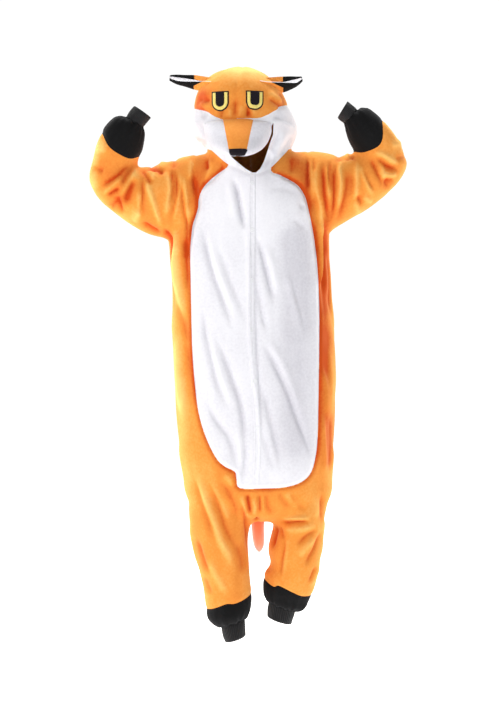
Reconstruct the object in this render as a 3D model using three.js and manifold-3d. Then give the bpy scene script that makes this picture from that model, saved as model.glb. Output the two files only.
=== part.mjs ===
// A hooded fox onesie of fleece, hollow, as it hangs on a wearer who holds the ears out sideways.
// Millimetres, +Z up. The front faces -Y and the origin lies between the shoulders.
import * as THREE from 'three';
import { mergeVertices } from 'three/addons/utils/BufferGeometryUtils.js';
import Module from 'manifold-3d';

const wasm = await Module();
wasm.setup();

// Driving dimensions
const cloth = 2; // wall of the fleece
const seam = 0.3; // space between pieces that are sewn together
const felt = 1.2; // thickness of the felt of the eyes
const placketWidth = 18;
const snapRadius = 6.5;
const snapHeight = 1.6;
const snapHeights = [-81, -211, -349, -487, -628, -758];
const snapLift = 0.6; // clears the facets of the strip below a snap
const noseDepth = 4;
const earHem = 0.65; // share of the last step of an ear's curve that is turned in as a hem
const hemClear = 0.14; // share of that step between the hem and the lining
const reachOfHem = 6; // clears the lining away above and below the hem
const tailTipHeight = -1055; // where the orange of the tail meets its pale tip

// How finely the surfaces are faceted
const columnsAround = { body: 22, hood: 16, limb: 10, muzzle: 16, tail: 12 };
const boxiness = { body: 1.15, hood: 1.05, limb: 1.05, muzzle: 0.95, tail: 1 }; // 1 is an ellipse
const placketSteps = 12;
const snapSides = 12;
const eyeCurveSteps = 6;
const earSteps = 6;
const facetTolerance = 0.12; // facets that lie flatter than this become one

// Cutting
const reach = 320; // how far a cutting blade runs beyond the cloth, front and back
const opened = 4; // how far the hollow runs past an open end
const beforeMiddle = -20; // a cut that stops here leaves the back whole
const smallestPiece = 400; // cubic millimetres; anything less is a crumb of a cut

const colours = {
  orange: { color: 0xf59a48, roughness: 0.95, metalness: 0 },
  white: { color: 0xf2f0f6, roughness: 0.95, metalness: 0 },
  black: { color: 0x1d1d1e, roughness: 0.95, metalness: 0 },
  felt_black: { color: 0x17131a, roughness: 0.9, metalness: 0 },
  felt_yellow: { color: 0xf2e08c, roughness: 0.9, metalness: 0 },
  snap_white: { color: 0xe9ecef, roughness: 0.4, metalness: 0 },
};

// Gives each row of a short table its column names.
function table(columns, rows) {
  return rows.map((row) => Object.fromEntries(columns.map((column, index) => [column, row[index]])));
}

// ---- Sections ----
// Level sections: height, left and right edge, how far they bulge to the front and the back, the
// depth of their middle, and how much they rise from front to back for each millimetre of depth.
const level = ['z', 'left', 'right', 'front', 'back', 'middle', 'rise'];

const bodySections = table(level, [
  [34, -57, 46, 60, 80, 0, 0],
  [12, -117, 113, 94, 100, 0, 0],
  [-6, -154, 163, 105, 108, 0, 0],
  [-40, -178, 184, 115, 116, 0, 0],
  [-110, -205, 203, 127, 125, 0, 0],
  [-180, -223, 217, 132, 130, 0, 0],
  [-250, -238, 222, 134, 132, 0, 0],
  [-340, -228, 224, 137, 130, 0, 0],
  [-440, -224, 227, 139, 130, 0, 0],
  [-515, -224, 235, 141, 133, 0, 0],
  [-590, -220, 239, 142, 136, 0, 0],
  [-720, -216, 239, 142, 143, 0, 0],
  [-830, -206, 234, 140, 144, 0, 0],
  [-910, -192, 223, 134, 142, 0, 0],
  [-972, -183, 220, 120, 132, 0, 0],
  [-1006, -165, 199, 97, 108, 0, 0],
  [-1026, -125, 156, 66, 76, 0, 0],
  [-1035, -68, 108, 40, 45, 0, 0],
]);

const hoodSections = table(level, [
  [-42, -57, 63, 80, 80, -12, 0.35],
  [-13, -84, 89, 94, 91, -12, 0.34],
  [18, -121, 105, 107, 100, -14, 0.3],
  [40, -148, 120, 117, 107, -15, 0.25],
  [63, -170, 128, 125, 115, -15, 0.2],
  [98, -172, 124, 134, 125, -15, 0.08],
  [138, -164, 104, 138, 130, -15, 0.02],
  [177, -155, 86, 135, 128, -14, 0],
  [209, -135, 60, 119, 113, -11, 0],
  [235, -100, 31, 86, 84, -8, 0],
  [250, -58, -3, 36, 36, -5, 0],
]);

const muzzleSections = table(level, [
  [93, -84, 8, 38, 30, -115, 0],
  [86, -126, 50, 58, 40, -112, 0],
  [71, -133, 56, 80, 38, -112, 0],
  [54, -132, 54, 96, 30, -118, 0],
  [36, -126, 47, 96, 22, -135, 0],
  [17, -117, 37, 84, 18, -158, 0],
  [2, -102, 23, 66, 16, -180, 0],
  [-9, -84, 4, 50, 14, -198, 0],
  [-16, -62, -17, 30, 10, -212, 0],
]);

const tailSections = table(level, [
  [-650, -22, 20, 24, 20, 150, 0],
  [-680, -38, 36, 40, 38, 172, 0],
  [-725, -54, 54, 54, 54, 200, 0],
  [-790, -66, 70, 66, 66, 218, 0],
  [-865, -66, 78, 70, 70, 228, 0],
  [-935, -54, 70, 64, 64, 228, 0],
  [-990, -32, 56, 50, 50, 222, 0],
  [-1035, -8, 42, 30, 30, 213, 0],
  [-1070, -1, 38, 20, 20, 205, 0],
  [-1093, 1, 37, 16, 16, 200, 0],
  [-1122, 3, 36, 12, 12, 196, 0],
  [-1140, 7, 34, 8, 8, 194, 0],
  [-1151, 13, 29, 4, 4, 193, 0],
  [-1157, 19, 23, 2, 2, 193, 0],
]);

// Slanting sections: the two edges seen from the front, the bulge each way and the middle's depth.
const slanting = ['x1', 'z1', 'x2', 'z2', 'front', 'back', 'middle'];

const limbSections = {
  leg_left: table(slanting, [
    [-160, -895, -28, -895, 90, 95, -4],
    [-180, -980, -14, -975, 103, 108, -5],
    [-178, -1035, -4, -1032, 104, 107, -7],
    [-170, -1090, -9, -1080, 102, 105, -9],
    [-157, -1150, -9, -1137, 99, 102, -10],
    [-138, -1237, -4, -1213, 90, 94, -10],
    [-132, -1278, -1, -1244, 84, 88, -10],
    [-117, -1324, -10, -1304, 66, 68, -10],
    [-88, -1344, -21, -1322, 38, 38, -10],
    [-77, -1381, -19, -1363, 35, 35, -10],
  ]),
  leg_right: table(slanting, [
    [68, -895, 202, -895, 90, 95, 4],
    [62, -975, 215, -980, 103, 108, 5],
    [64, -1032, 207, -1035, 104, 107, 7],
    [47, -1128, 198, -1138, 100, 103, 12],
    [54, -1157, 194, -1172, 96, 99, 14],
    [37, -1190, 184, -1214, 90, 94, 16],
    [32, -1222, 175, -1242, 84, 88, 17],
    [34, -1250, 163, -1268, 70, 72, 18],
    [41, -1267, 145, -1296, 54, 56, 18],
    [48, -1272, 124, -1299, 38, 38, 18],
    [45, -1314, 113, -1336, 35, 35, 18],
  ]),
  sleeve_left: table(slanting, [
    [-108, 6, -188, -230, 80, 80, 0],
    [-150, 7, -241, -231, 95, 95, 0],
    [-218, -6, -309, -211, 97, 97, 0],
    [-256, -19, -344, -191, 93, 93, -3],
    [-290, -25, -378, -168, 88, 88, -6],
    [-321, -30, -436, -115, 78, 78, -14],
    [-324, -18, -458, -70, 70, 70, -24],
    [-312, 3, -447, -6, 65, 65, -38],
    [-303, 32, -425, 56, 60, 60, -50],
    [-300, 60, -405, 88, 55, 55, -56],
    [-302, 73, -374, 109, 46, 46, -60],
    [-305, 79, -351, 107, 34, 34, -62],
    [-284, 104, -329, 135, 31, 31, -66],
  ]),
  sleeve_right: table(slanting, [
    [111, 10, 188, -222, 80, 80, 0],
    [165, 18, 221, -210, 95, 95, 0],
    [220, 9, 277, -178, 97, 97, 0],
    [246, 4, 318, -154, 92, 92, -4],
    [270, 5, 357, -126, 87, 87, -8],
    [284, 9, 427, -52, 76, 76, -18],
    [285, 16, 437, -24, 71, 71, -26],
    [278, 28, 427, 8, 66, 66, -36],
    [270, 45, 408, 46, 62, 62, -46],
    [263, 66, 380, 82, 57, 57, -54],
    [260, 80, 349, 113, 48, 48, -59],
    [258, 86, 318, 133, 40, 40, -61],
    [256, 90, 291, 128, 34, 34, -62],
    [240, 105, 267, 148, 31, 31, -66],
  ]),
};

// The largest folds: a line seen from the front, on the front or the back, how wide the fold
// spreads, and its height. A negative height is a trough.
const folds = table(['side', 'x1', 'z1', 'x2', 'z2', 'width', 'height'], [
  ['front', -172, -6, -154, -137, 19, -9],
  ['front', -209, -48, -205, -103, 16, -6],
  ['front', -237, -17, -233, -68, 14, -5],
  ['front', -198, -105, -180, -305, 19, 6],
  ['front', 155, 0, 165, -154, 19, -9],
  ['front', 199, -3, 202, -248, 18, -8],
  ['front', 224, -6, 222, -46, 13, -5],
  ['front', 230, -145, 224, -205, 13, -5],
  ['front', 164, -71, 182, -248, 14, 5],
  ['front', 211, -91, 214, -405, 19, 5],
  ['front', -328, -26, -373, -148, 16, -7],
  ['front', -325, -28, -285, -182, 16, -6],
  ['front', -291, -40, -242, -211, 19, -6],
  ['front', -336, -14, -439, -57, 16, -6],
  ['front', 294, 6, 342, -114, 16, -7],
  ['front', 285, -6, 279, -154, 16, -6],
  ['front', 302, 14, 416, -20, 16, -6],
  ['front', 17, -490, 165, -889, 26, -6],
  ['front', -148, -533, -34, -747, 29, -6],
  ['front', 28, -262, 137, -490, 22, -4],
  ['front', -160, -291, -34, -490, 26, -4],
  ['front', -114, -761, -40, -940, 19, -6],
  ['front', 46, -405, 171, -661, 22, 5],
  ['front', -137, -405, -17, -618, 22, 4],
  ['front', -40, -935, -17, -1060, 16, -12],
  ['front', -14, -946, 0, -1026, 13, 6],
  ['front', 71, -1032, 165, -963, 16, -6],
  ['front', -154, -989, -86, -1231, 22, -6],
  ['front', -108, -1017, -34, -1217, 19, 5],
  ['front', 91, -1032, 137, -1217, 19, -5],
  ['front', 171, -946, 160, -1203, 19, 5],
  ['front', -205, -490, -188, -889, 19, 5],
  ['back', -110, -30, -60, -330, 24, -7],
  ['back', 120, -40, 60, -360, 26, -7],
  ['back', -150, -150, -120, -520, 22, 5],
  ['back', 150, -190, 110, -560, 22, 5],
  ['back', -190, -420, -60, -780, 28, -6],
  ['back', 200, -470, 70, -820, 28, -6],
  ['back', -130, -900, -60, -1120, 20, -7],
  ['back', 150, -900, 100, -1120, 20, -7],
  ['back', -330, -30, -380, -150, 16, -6],
  ['back', 300, 0, 350, -110, 16, -6],
]);

// ---- Meshes and solids ----
function solidFromMesh(vertices, triangles) {
  const mesh = new wasm.Mesh({
    numProp: 3,
    vertProperties: new Float32Array(vertices.flatMap((vertex) => [vertex.x, vertex.y, vertex.z])),
    triVerts: new Uint32Array(triangles.flat()),
  });
  return new wasm.Manifold(mesh);
}

function solidFromGeometry(geometry) {
  const bare = geometry.index ? geometry.toNonIndexed() : geometry.clone();
  bare.deleteAttribute('normal');
  bare.deleteAttribute('uv');
  const merged = mergeVertices(bare, 1e-4);
  return new wasm.Manifold(new wasm.Mesh({
    numProp: 3,
    vertProperties: new Float32Array(merged.attributes.position.array),
    triVerts: new Uint32Array(merged.index.array),
  }));
}

// Superellipse power: above 1 makes a section boxier, below 1 makes it sharper.
function bulge(value, power) {
  return Math.sign(value) * Math.abs(value) ** (1 / power);
}

function ringOfSection(section, count, power) {
  const flat = section.z !== undefined;
  const a = flat ? [section.left, section.z] : [section.x1, section.z1];
  const b = flat ? [section.right, section.z] : [section.x2, section.z2];
  const swap = a[0] > b[0];
  const [left, right] = swap ? [b, a] : [a, b];
  const points = [];
  for (let index = 0; index < count; index += 1) {
    const angle = (2 * Math.PI * index) / count;
    const across = bulge(Math.cos(angle), power);
    const deep = bulge(Math.sin(angle), power);
    const depth = deep * (deep < 0 ? section.front : section.back);
    points.push(new THREE.Vector3(
      (left[0] + right[0]) / 2 + (across * (right[0] - left[0])) / 2,
      section.middle + depth,
      (left[1] + right[1]) / 2 + (across * (right[1] - left[1])) / 2 + (section.rise ?? 0) * depth,
    ));
  }
  return points;
}

function centreOf(points) {
  return points.reduce((sum, point) => sum.add(point), new THREE.Vector3()).divideScalar(points.length);
}

function normalsOfTube(rings) {
  const last = rings.length - 1;
  const centres = rings.map(centreOf);
  let outward = 0;
  const normals = rings.map((ring, row) => ring.map((point, index) => {
    const around = ring[(index + 1) % ring.length].clone().sub(ring.at(index - 1));
    const along = rings[Math.min(row + 1, last)][index].clone().sub(rings[Math.max(row - 1, 0)][index]);
    const normal = around.cross(along).normalize();
    outward += normal.dot(point.clone().sub(centres[row]));
    return normal;
  }));
  return normals.map((row) => row.map((normal) => normal.multiplyScalar(Math.sign(outward))));
}

// How far the folds lift a point of the cloth.
function foldHeight(point, middle) {
  let height = 0;
  for (const fold of folds) {
    if ((fold.side === 'front') === (point.y < middle)) {
      const alongX = fold.x2 - fold.x1;
      const alongZ = fold.z2 - fold.z1;
      const along = (point.x - fold.x1) * alongX + (point.z - fold.z1) * alongZ;
      const share = THREE.MathUtils.clamp(along / (alongX ** 2 + alongZ ** 2), 0, 1);
      const apart = Math.hypot(point.x - fold.x1 - share * alongX, point.z - fold.z1 - share * alongZ);
      height += fold.height * Math.exp(-((apart / fold.width) ** 2));
    }
  }
  return height;
}

function makeTube(sections, kind, folded) {
  const rings = sections.map((section) => ringOfSection(section, columnsAround[kind], boxiness[kind]));
  const normals = normalsOfTube(rings);
  if (folded) {
    rings.forEach((ring, row) => ring.forEach((point, index) => {
      point.addScaledVector(normals[row][index], foldHeight(point, sections[row].middle));
    }));
  }
  return { rings, normals };
}

// A closed solid of a tube, its surface moved out by offset. openEnd runs the last ring on.
function solidOfTube(tube, offset, openEnd = 0) {
  const { rings, normals } = tube;
  const count = rings[0].length;
  const moved = rings.map((ring, row) => ring.map((point, index) => (
    point.clone().addScaledVector(normals[row][index], offset))));
  if (openEnd) {
    const run = centreOf(rings.at(-1)).sub(centreOf(rings.at(-2))).normalize();
    moved.push(moved.at(-1).map((point) => point.clone().addScaledVector(run, openEnd)));
  }
  const vertices = [...moved.flat(), centreOf(moved[0]), centreOf(moved.at(-1))];
  const start = vertices.length - 2;
  const triangles = [];
  for (let index = 0; index < count; index += 1) {
    const next = (index + 1) % count;
    for (let row = 0; row < moved.length - 1; row += 1) {
      const upper = row * count;
      const lower = upper + count;
      triangles.push([upper + index, lower + index, upper + next]);
      triangles.push([upper + next, lower + index, lower + next]);
    }
    const lowest = (moved.length - 1) * count;
    triangles.push([start, index, next]);
    triangles.push([start + 1, lowest + next, lowest + index]);
  }
  return facingOut(vertices, triangles);
}

// Turns the triangles round where the mesh is inside out.
function facingOut(vertices, triangles) {
  const volume = triangles.reduce((sum, [a, b, c]) => (
    sum + vertices[a].dot(vertices[b].clone().cross(vertices[c]))), 0);
  const turned = volume < 0 ? triangles.map(([a, b, c]) => [a, c, b]) : triangles;
  return solidFromMesh(vertices, turned);
}

// ---- Blades and prisms, drawn in a view and pushed through the cloth ----
// The front view is drawn in x and z and pushed along y, the side view in y and z and pushed
// along x, and the top view in x and y and pushed along z.
function pushThrough(shape, view, from, to) {
  const geometry = new THREE.ExtrudeGeometry(shape, { depth: to - from, bevelEnabled: false });
  if (view === 'front') {
    geometry.rotateX(Math.PI / 2);
    geometry.translate(0, to, 0);
  } else if (view === 'top') {
    geometry.translate(0, 0, from);
  } else {
    geometry.applyMatrix4(new THREE.Matrix4().makeBasis(
      new THREE.Vector3(0, 1, 0), new THREE.Vector3(0, 0, 1), new THREE.Vector3(1, 0, 0)));
    geometry.translate(from, 0, 0);
  }
  return solidFromGeometry(geometry);
}

function asVectors(points) {
  return points.map(([u, v]) => new THREE.Vector2(u, v));
}

// The points of a line moved sideways, with mitred corners.
function movedAside(points, distance, closed) {
  const count = points.length;
  return points.map((point, index) => {
    const before = closed || index > 0 ? points.at(index - 1) : point;
    const after = closed || index < count - 1 ? points[(index + 1) % count] : point;
    const into = point.clone().sub(before).normalize();
    const out = after.clone().sub(point).normalize();
    const mean = into.clone().add(out).normalize();
    const aside = new THREE.Vector2(-mean.y, mean.x);
    const edge = into.lengthSq() > 0 ? into : out;
    const stretch = Math.max(0.5, aside.dot(new THREE.Vector2(-edge.y, edge.x)));
    return point.clone().addScaledVector(aside, distance / stretch);
  });
}

function blade(points, view, from, to) {
  const line = asVectors(points);
  const shape = new THREE.Shape([
    ...movedAside(line, seam / 2, false), ...movedAside(line, -seam / 2, false).reverse()]);
  return pushThrough(shape, view, from, to);
}

function loopBlade(line, view, from, to) {
  const clockwise = THREE.ShapeUtils.isClockWise(line);
  const side = clockwise ? 1 : -1;
  const shape = new THREE.Shape(movedAside(line, (side * seam) / 2, true));
  shape.holes.push(new THREE.Path(movedAside(line, (-side * seam) / 2, true)));
  return pushThrough(shape, view, from, to);
}

function prism(points, view, from, to) {
  return pushThrough(new THREE.Shape(points), view, from, to);
}

function smoothLine(points, steps) {
  return new THREE.SplineCurve(asVectors(points)).getPoints(steps);
}

// ---- Seam lines ----
const seams = {
  neckFront: [
    [-150, 27], [-117, 14], [-106, 6], [-70, -26], [-33, -44], [1, -56], [39, -46], [61, -30],
    [96, 8], [105, 17], [148, 31],
  ],
  neckBack: [[-150, 27], [-117, 14], [-106, 6], [-63, 9], [-6, 11], [51, 9], [96, 8], [105, 17], [148, 31]],
  armLeft: [
    [-148, 34], [-162, -13], [-166, -56], [-162, -98], [-163, -135], [-184, -187], [-214, -219],
    [-262, -251],
  ],
  armRight: [
    [160, 40], [159, -13], [167, -59], [171, -98], [174, -143], [184, -181], [208, -208], [251, -232],
  ],
  wristBandLeft: [[-430, 76], [-415, 54], [-398, 22], [-369, 0], [-337, -11], [-308, 5], [-296, 18]],
  wristBandRight: [
    [246, 74], [258, 44], [274, 22], [289, 11], [313, 7], [349, 21], [362, 45], [363, 92],
    [372, 118],
  ],
  wristCuffLeft: [[-372, 124], [-352, 110], [-305, 80], [-288, 69]],
  wristCuffRight: [[308, 147], [292, 130], [256, 91], [242, 76]],
  ankleBandLeft: [
    [-148, -1290], [-129, -1283], [-104, -1273], [-73, -1259], [-52, -1259], [-30, -1253],
    [-4, -1241], [11, -1233],
  ],
  ankleBandRight: [
    [20, -1192], [36, -1203], [61, -1217], [76, -1212], [112, -1229], [143, -1245], [173, -1250],
    [188, -1253],
  ],
  ankleCuffLeft: [[-108, -1345], [-90, -1338], [-21, -1315], [0, -1308]],
  ankleCuffRight: [[23, -1261], [44, -1271], [126, -1301], [146, -1308]],
  centreFront: [
    [2, 23], [1, -56], [0, -266], [-2, -487], [8, -639], [16, -791], [11, -922], [19, -943],
    [17, -1010], [17, -1060],
  ],
  centreBack: [[-3, 51], [-3, -262], [0, -690], [6, -918], [17, -1017], [17, -1060]],
  side: [[0, 60], [0, -1330]],
  hoodCrown: [[-66, -reach], [22, reach]],
  cheekLeft: [
    [-200, 86], [-146, 87], [-116, 114], [-80, 125], [-15, 135], [6, 130], [20, 98], [24, 38], [24, -60],
  ],
  cheekRight: [
    [-200, 92], [-150, 93], [-137, 102], [-125, 114], [-112, 122], [-95, 131], [-60, 139], [-15, 142],
    [6, 136], [20, 98], [24, 38], [24, -60],
  ],
};

const bellyOutline = [
  [-67, 10], [-66, -31], [-89, -50], [-117, -72], [-137, -95], [-148, -122], [-150, -147], [-156, -169],
  [-165, -196], [-170, -238], [-172, -280], [-170, -400], [-167, -535], [-160, -634], [-149, -718],
  [-129, -785], [-101, -842], [-77, -866], [-48, -881], [-43, -903], [-34, -927], [30, -928],
  [80, -926], [119, -919], [147, -906], [165, -885], [176, -850], [183, -790], [186, -640], [188, -460],
  [186, -370], [180, -287], [172, -226], [163, -180], [158, -158], [151, -127], [142, -106], [127, -86],
  [105, -72], [77, -58], [52, -45], [52, 10],
];

const faceOpening = [
  [-96, 30], [30, 34], [46, 60], [59, 84], [58, 52], [49, 27], [41, 2], [32, -23], [22, -42],
  [11, -52], [0, -52], [-17, -42], [-44, -20], [-72, 4],
];

// ---- The whole shell of cloth ----
const tubes = {
  body: makeTube(bodySections, 'body', true),
  hood: makeTube(hoodSections, 'hood', false),
};
for (const [name, sections] of Object.entries(limbSections)) {
  tubes[name] = makeTube(sections, 'limb', true);
}

function allTubes(offset, openEnd) {
  return Object.entries(tubes).reduce((whole, [name, tube]) => {
    const solid = solidOfTube(tube, offset, name in limbSections ? openEnd : 0);
    return whole ? whole.add(solid) : solid;
  }, null);
}

const shell = allTubes(0, 0).subtract(allTubes(-cloth, opened));

// Cuts a solid and hands out its pieces: each name takes the piece with the vertex nearest its point.
function cutApart(solid, blades, wanted) {
  const cut = blades.reduce((left, cutter) => left.subtract(cutter), solid).simplify(facetTolerance);
  const pieces = cut.decompose().filter((piece) => Math.abs(piece.volume()) > smallestPiece);
  const nearest = (piece, [x, y, z]) => {
    const { vertProperties: list } = piece.getMesh();
    let best = Infinity;
    for (let at = 0; at < list.length; at += 3) {
      best = Math.min(best, Math.hypot(list[at] - x, list[at + 1] - y, list[at + 2] - z));
    }
    return best;
  };
  return Object.fromEntries(Object.entries(wanted).map(([name, point]) => {
    const sorted = [...pieces].sort((one, other) => nearest(one, point) - nearest(other, point));
    return [name, sorted[0]];
  }));
}

const bothWays = (points) => blade(points, 'front', -reach, reach);

const upper = cutApart(shell, [
  blade(seams.neckFront, 'front', -reach, 0),
  blade(seams.neckBack, 'front', 0, reach),
], { hood: [-21, 0, 259], suit: [0, -140, -500] });

const parts = cutApart(upper.suit, [
  bothWays(seams.armLeft),
  bothWays(seams.armRight),
  bothWays(seams.wristBandLeft),
  bothWays(seams.wristBandRight),
  bothWays(seams.wristCuffLeft),
  bothWays(seams.wristCuffRight),
  bothWays(seams.ankleBandLeft),
  bothWays(seams.ankleBandRight),
  bothWays(seams.ankleCuffLeft),
  bothWays(seams.ankleCuffRight),
], {
  trunk: [0, -140, -500],
  sleeve_left: [-458, -22, -80],
  sleeve_right: [440, -27, -6],
  sleeve_band_left: [-395, -58, 107],
  sleeve_band_right: [328, -59, 142],
  cuff_left: [-331, -66, 145],
  cuff_right: [272, -66, 160],
  leg_band_left: [-115, -10, -1316],
  leg_band_right: [155, 18, -1271],
  ankle_cuff_left: [-77, -10, -1381],
  ankle_cuff_right: [108, 18, -1328],
});

const trunk = cutApart(parts.trunk, [
  blade(seams.side, 'side', -reach, reach),
  blade(seams.centreFront, 'front', -reach, 0),
  blade(seams.centreBack, 'front', 0, reach),
  loopBlade(asVectors(bellyOutline), 'front', -reach, beforeMiddle),
], {
  front_left: [-200, -60, -700],
  front_right: [220, -60, -700],
  back_left: [-120, 120, -400],
  back_right: [120, 120, -400],
  belly_left: [-80, -135, -500],
  belly_right: [80, -135, -500],
});

const hoodHalves = cutApart(upper.hood, [
  prism(asVectors(faceOpening), 'front', -reach, beforeMiddle),
  blade(seams.hoodCrown, 'top', -reach, reach),
], { left: [-130, 0, 200], right: [60, 0, 200] });

const hood = {
  ...cutApart(hoodHalves.left, [blade(seams.cheekLeft, 'side', -reach, reach)], {
    hood_left: [-130, 0, 200],
    cheek_left: [-160, -60, 80],
  }),
  ...cutApart(hoodHalves.right, [blade(seams.cheekRight, 'side', -reach, reach)], {
    hood_right: [60, 0, 200],
    cheek_right: [120, -60, 80],
  }),
};

// ---- The object ----
const onesie = new THREE.Group();

function addPiece(name, solid, colour) {
  const mesh = solid.getMesh();
  const geometry = new THREE.BufferGeometry();
  geometry.setAttribute('position', new THREE.BufferAttribute(mesh.vertProperties, 3));
  geometry.setIndex(new THREE.BufferAttribute(mesh.triVerts, 1));
  geometry.computeVertexNormals();
  const piece = new THREE.Mesh(geometry, new THREE.MeshStandardMaterial(colours[colour]));
  piece.name = name;
  onesie.add(piece);
}

const finishes = {
  orange: ['sleeve_left', 'sleeve_right', 'front_left', 'front_right', 'back_left', 'back_right',
    'hood_left', 'hood_right'],
  white: ['belly_left', 'belly_right', 'cheek_left', 'cheek_right'],
  black: ['sleeve_band_left', 'sleeve_band_right', 'cuff_left', 'cuff_right',
    'leg_band_left', 'leg_band_right', 'ankle_cuff_left', 'ankle_cuff_right'],
};
const clothPieces = { ...parts, ...trunk, ...hood };
for (const [colour, names] of Object.entries(finishes)) {
  for (const name of names) {
    addPiece(name, clothPieces[name], colour);
  }
}

// Sheets that lie on a tube: a layer between two offsets, kept inside a prism that ends at behind.
function layerOn(tube, outline, from, to, behind = beforeMiddle) {
  return solidOfTube(tube, to).subtract(solidOfTube(tube, from))
    .intersect(prism(outline, 'front', -reach, behind));
}

// ---- Placket and snaps ----
const placketPoints = [[1, -60], [0, -266], [-2, -487], [8, -639], [16, -791], [11, -920]];
const placketLine = smoothLine(placketPoints, placketSteps);
const placket = layerOn(tubes.body, [
  ...movedAside(placketLine, placketWidth / 2, false),
  ...movedAside(placketLine, -placketWidth / 2, false).reverse(),
], seam, seam + cloth);
addPiece('placket', placket, 'white');

function addSnaps() {
  const strip = onesie.getObjectByName('placket');
  const ray = new THREE.Raycaster();
  snapHeights.forEach((z, index) => {
    const below = placketLine.findIndex((point) => point.y < z);
    const [upperPoint, lowerPoint] = [placketLine[below - 1], placketLine[below]];
    const x = THREE.MathUtils.mapLinear(z, upperPoint.y, lowerPoint.y, upperPoint.x, lowerPoint.x);
    ray.set(new THREE.Vector3(x, -reach, z), new THREE.Vector3(0, 1, 0));
    const [hit] = ray.intersectObject(strip);
    const disc = new THREE.CylinderGeometry(snapRadius, snapRadius, snapHeight, snapSides);
    const snap = new THREE.Mesh(disc, new THREE.MeshStandardMaterial(colours.snap_white));
    snap.name = `snap_${index + 1}`;
    snap.position.copy(hit.point).addScaledVector(hit.face.normal, snapLift + snapHeight / 2);
    snap.quaternion.setFromUnitVectors(new THREE.Vector3(0, 1, 0), hit.face.normal);
    onesie.add(snap);
  });
}

addSnaps();

// ---- Felt eyes: three layers, each on the one below ----
const eyes = table(['side', 'x', 'top', 'bottom', 'halfWidth'], [
  ['left', -87, 168, 114, 23.5],
  ['right', 7, 169, 116, 24],
]);
const eyeLayers = table(['name', 'inset', 'topInset', 'colour'], [
  ['eye_outline', 0, 0, 'felt_black'],
  ['eye_ring', 3.2, 3, 'felt_yellow'],
  ['eye_pupil', 12, 2.6, 'felt_black'],
]);

// A flat top, straight sides and a round bottom.
function eyeOutline(eye, layer) {
  const half = eye.halfWidth - layer.inset;
  const bottom = eye.bottom + layer.inset;
  const shape = new THREE.Shape();
  shape.moveTo(eye.x - half, eye.top - layer.topInset);
  shape.lineTo(eye.x - half, bottom + half);
  shape.absarc(eye.x, bottom + half, half, Math.PI, 2 * Math.PI, false);
  shape.lineTo(eye.x + half, eye.top - layer.topInset);
  return shape.getPoints(eyeCurveSteps);
}

for (const eye of eyes) {
  eyeLayers.forEach((layer, index) => {
    const from = seam + index * (felt + seam);
    const sheet = layerOn(tubes.hood, eyeOutline(eye, layer), from, from + felt);
    addPiece(`${layer.name}_${eye.side}`, sheet, layer.colour);
  });
}

// ---- Stuffed muzzle, each panel with the stuffing behind it ----
const muzzleTube = makeTube(muzzleSections, 'muzzle', false);
const overHood = solidOfTube(tubes.hood, seam);
const jawSeam = [[-90, 70], [-113, 54], [-131, 36], [-154, 17], [-176, 2], [-194, -9], [-222, -26]];
const bridgeSeam = [[-84, 112], [-62, -4], [-15, -4], [8, 112]];
const chinSeam = [[-40, -4], [-40, -40]];
const jaw = cutApart(solidOfTube(muzzleTube, 0).subtract(overHood), [
  blade(jawSeam, 'side', -reach, reach),
], { front: [-41, -200, 55], muzzle_underside: [-41, -140, 17] });
const muzzle = {
  ...jaw,
  ...cutApart(jaw.front, [
    blade(bridgeSeam, 'front', -reach, 0),
    blade(chinSeam, 'front', -reach, 0),
  ], {
    muzzle_bridge: [-41, -200, 55],
    muzzle_side_left: [-120, -160, 35],
    muzzle_side_right: [40, -160, 35],
  }),
};
addPiece('muzzle_bridge', muzzle.muzzle_bridge, 'orange');
addPiece('muzzle_side_left', muzzle.muzzle_side_left, 'white');
addPiece('muzzle_side_right', muzzle.muzzle_side_right, 'white');
addPiece('muzzle_underside', muzzle.muzzle_underside, 'white');

const noseOutline = asVectors([[-62, 2], [-16, 2], [-17, -9], [-24, -15], [-54, -15], [-61, -9]]);
const noseBack = -212;
addPiece('nose', layerOn(muzzleTube, noseOutline, seam, seam + noseDepth, noseBack), 'black');

// ---- Ears, each folded lengthwise and drawn out sideways ----
// For each station outwards: the fold below, the front edge and the rear edge, in y and z.
const earColumns = ['x', 'foldY', 'foldZ', 'frontY', 'frontZ', 'rearY', 'rearZ'];
const ears = {
  left: {
    sections: table(earColumns, [
      [-96, -104, 182, -122, 196, -110, 207],
      [-130, -62, 179, -88, 202, -50, 220],
      [-157, -36, 187, -64, 205, -16, 228],
      [-192, -26, 199, -48, 207, -4, 230],
      [-214, -26, 206, -40, 211, -8, 230],
      [-231, -28, 214, -36, 218, -18, 228],
    ]),
    frontChange: [[-122, 213], [-130, 205], [-163, 194], [-163, 150]],
    rearChange: [[-163, 270], [-163, 150]],
    outerPoint: [-140, -36, 223],
    tipPoint: [-231, -18, 228],
    liningPoint: [-192, -48, 207],
  },
  right: {
    sections: table(earColumns, [
      [13, -100, 185, -124, 200, -112, 208],
      [45, -74, 180, -106, 198, -72, 215],
      [78, -48, 177, -82, 200, -25, 223],
      [106, -32, 188, -60, 202, -4, 226],
      [128, -28, 200, -47, 205, -6, 225],
      [140, -28, 211, -38, 215, -16, 224],
    ]),
    frontChange: [[36, 207], [46, 200], [87, 187], [87, 140]],
    rearChange: [[87, 270], [87, 140]],
    outerPoint: [70, -36, 221],
    tipPoint: [140, -16, 224],
    liningPoint: [106, -60, 202],
  },
};

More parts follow.
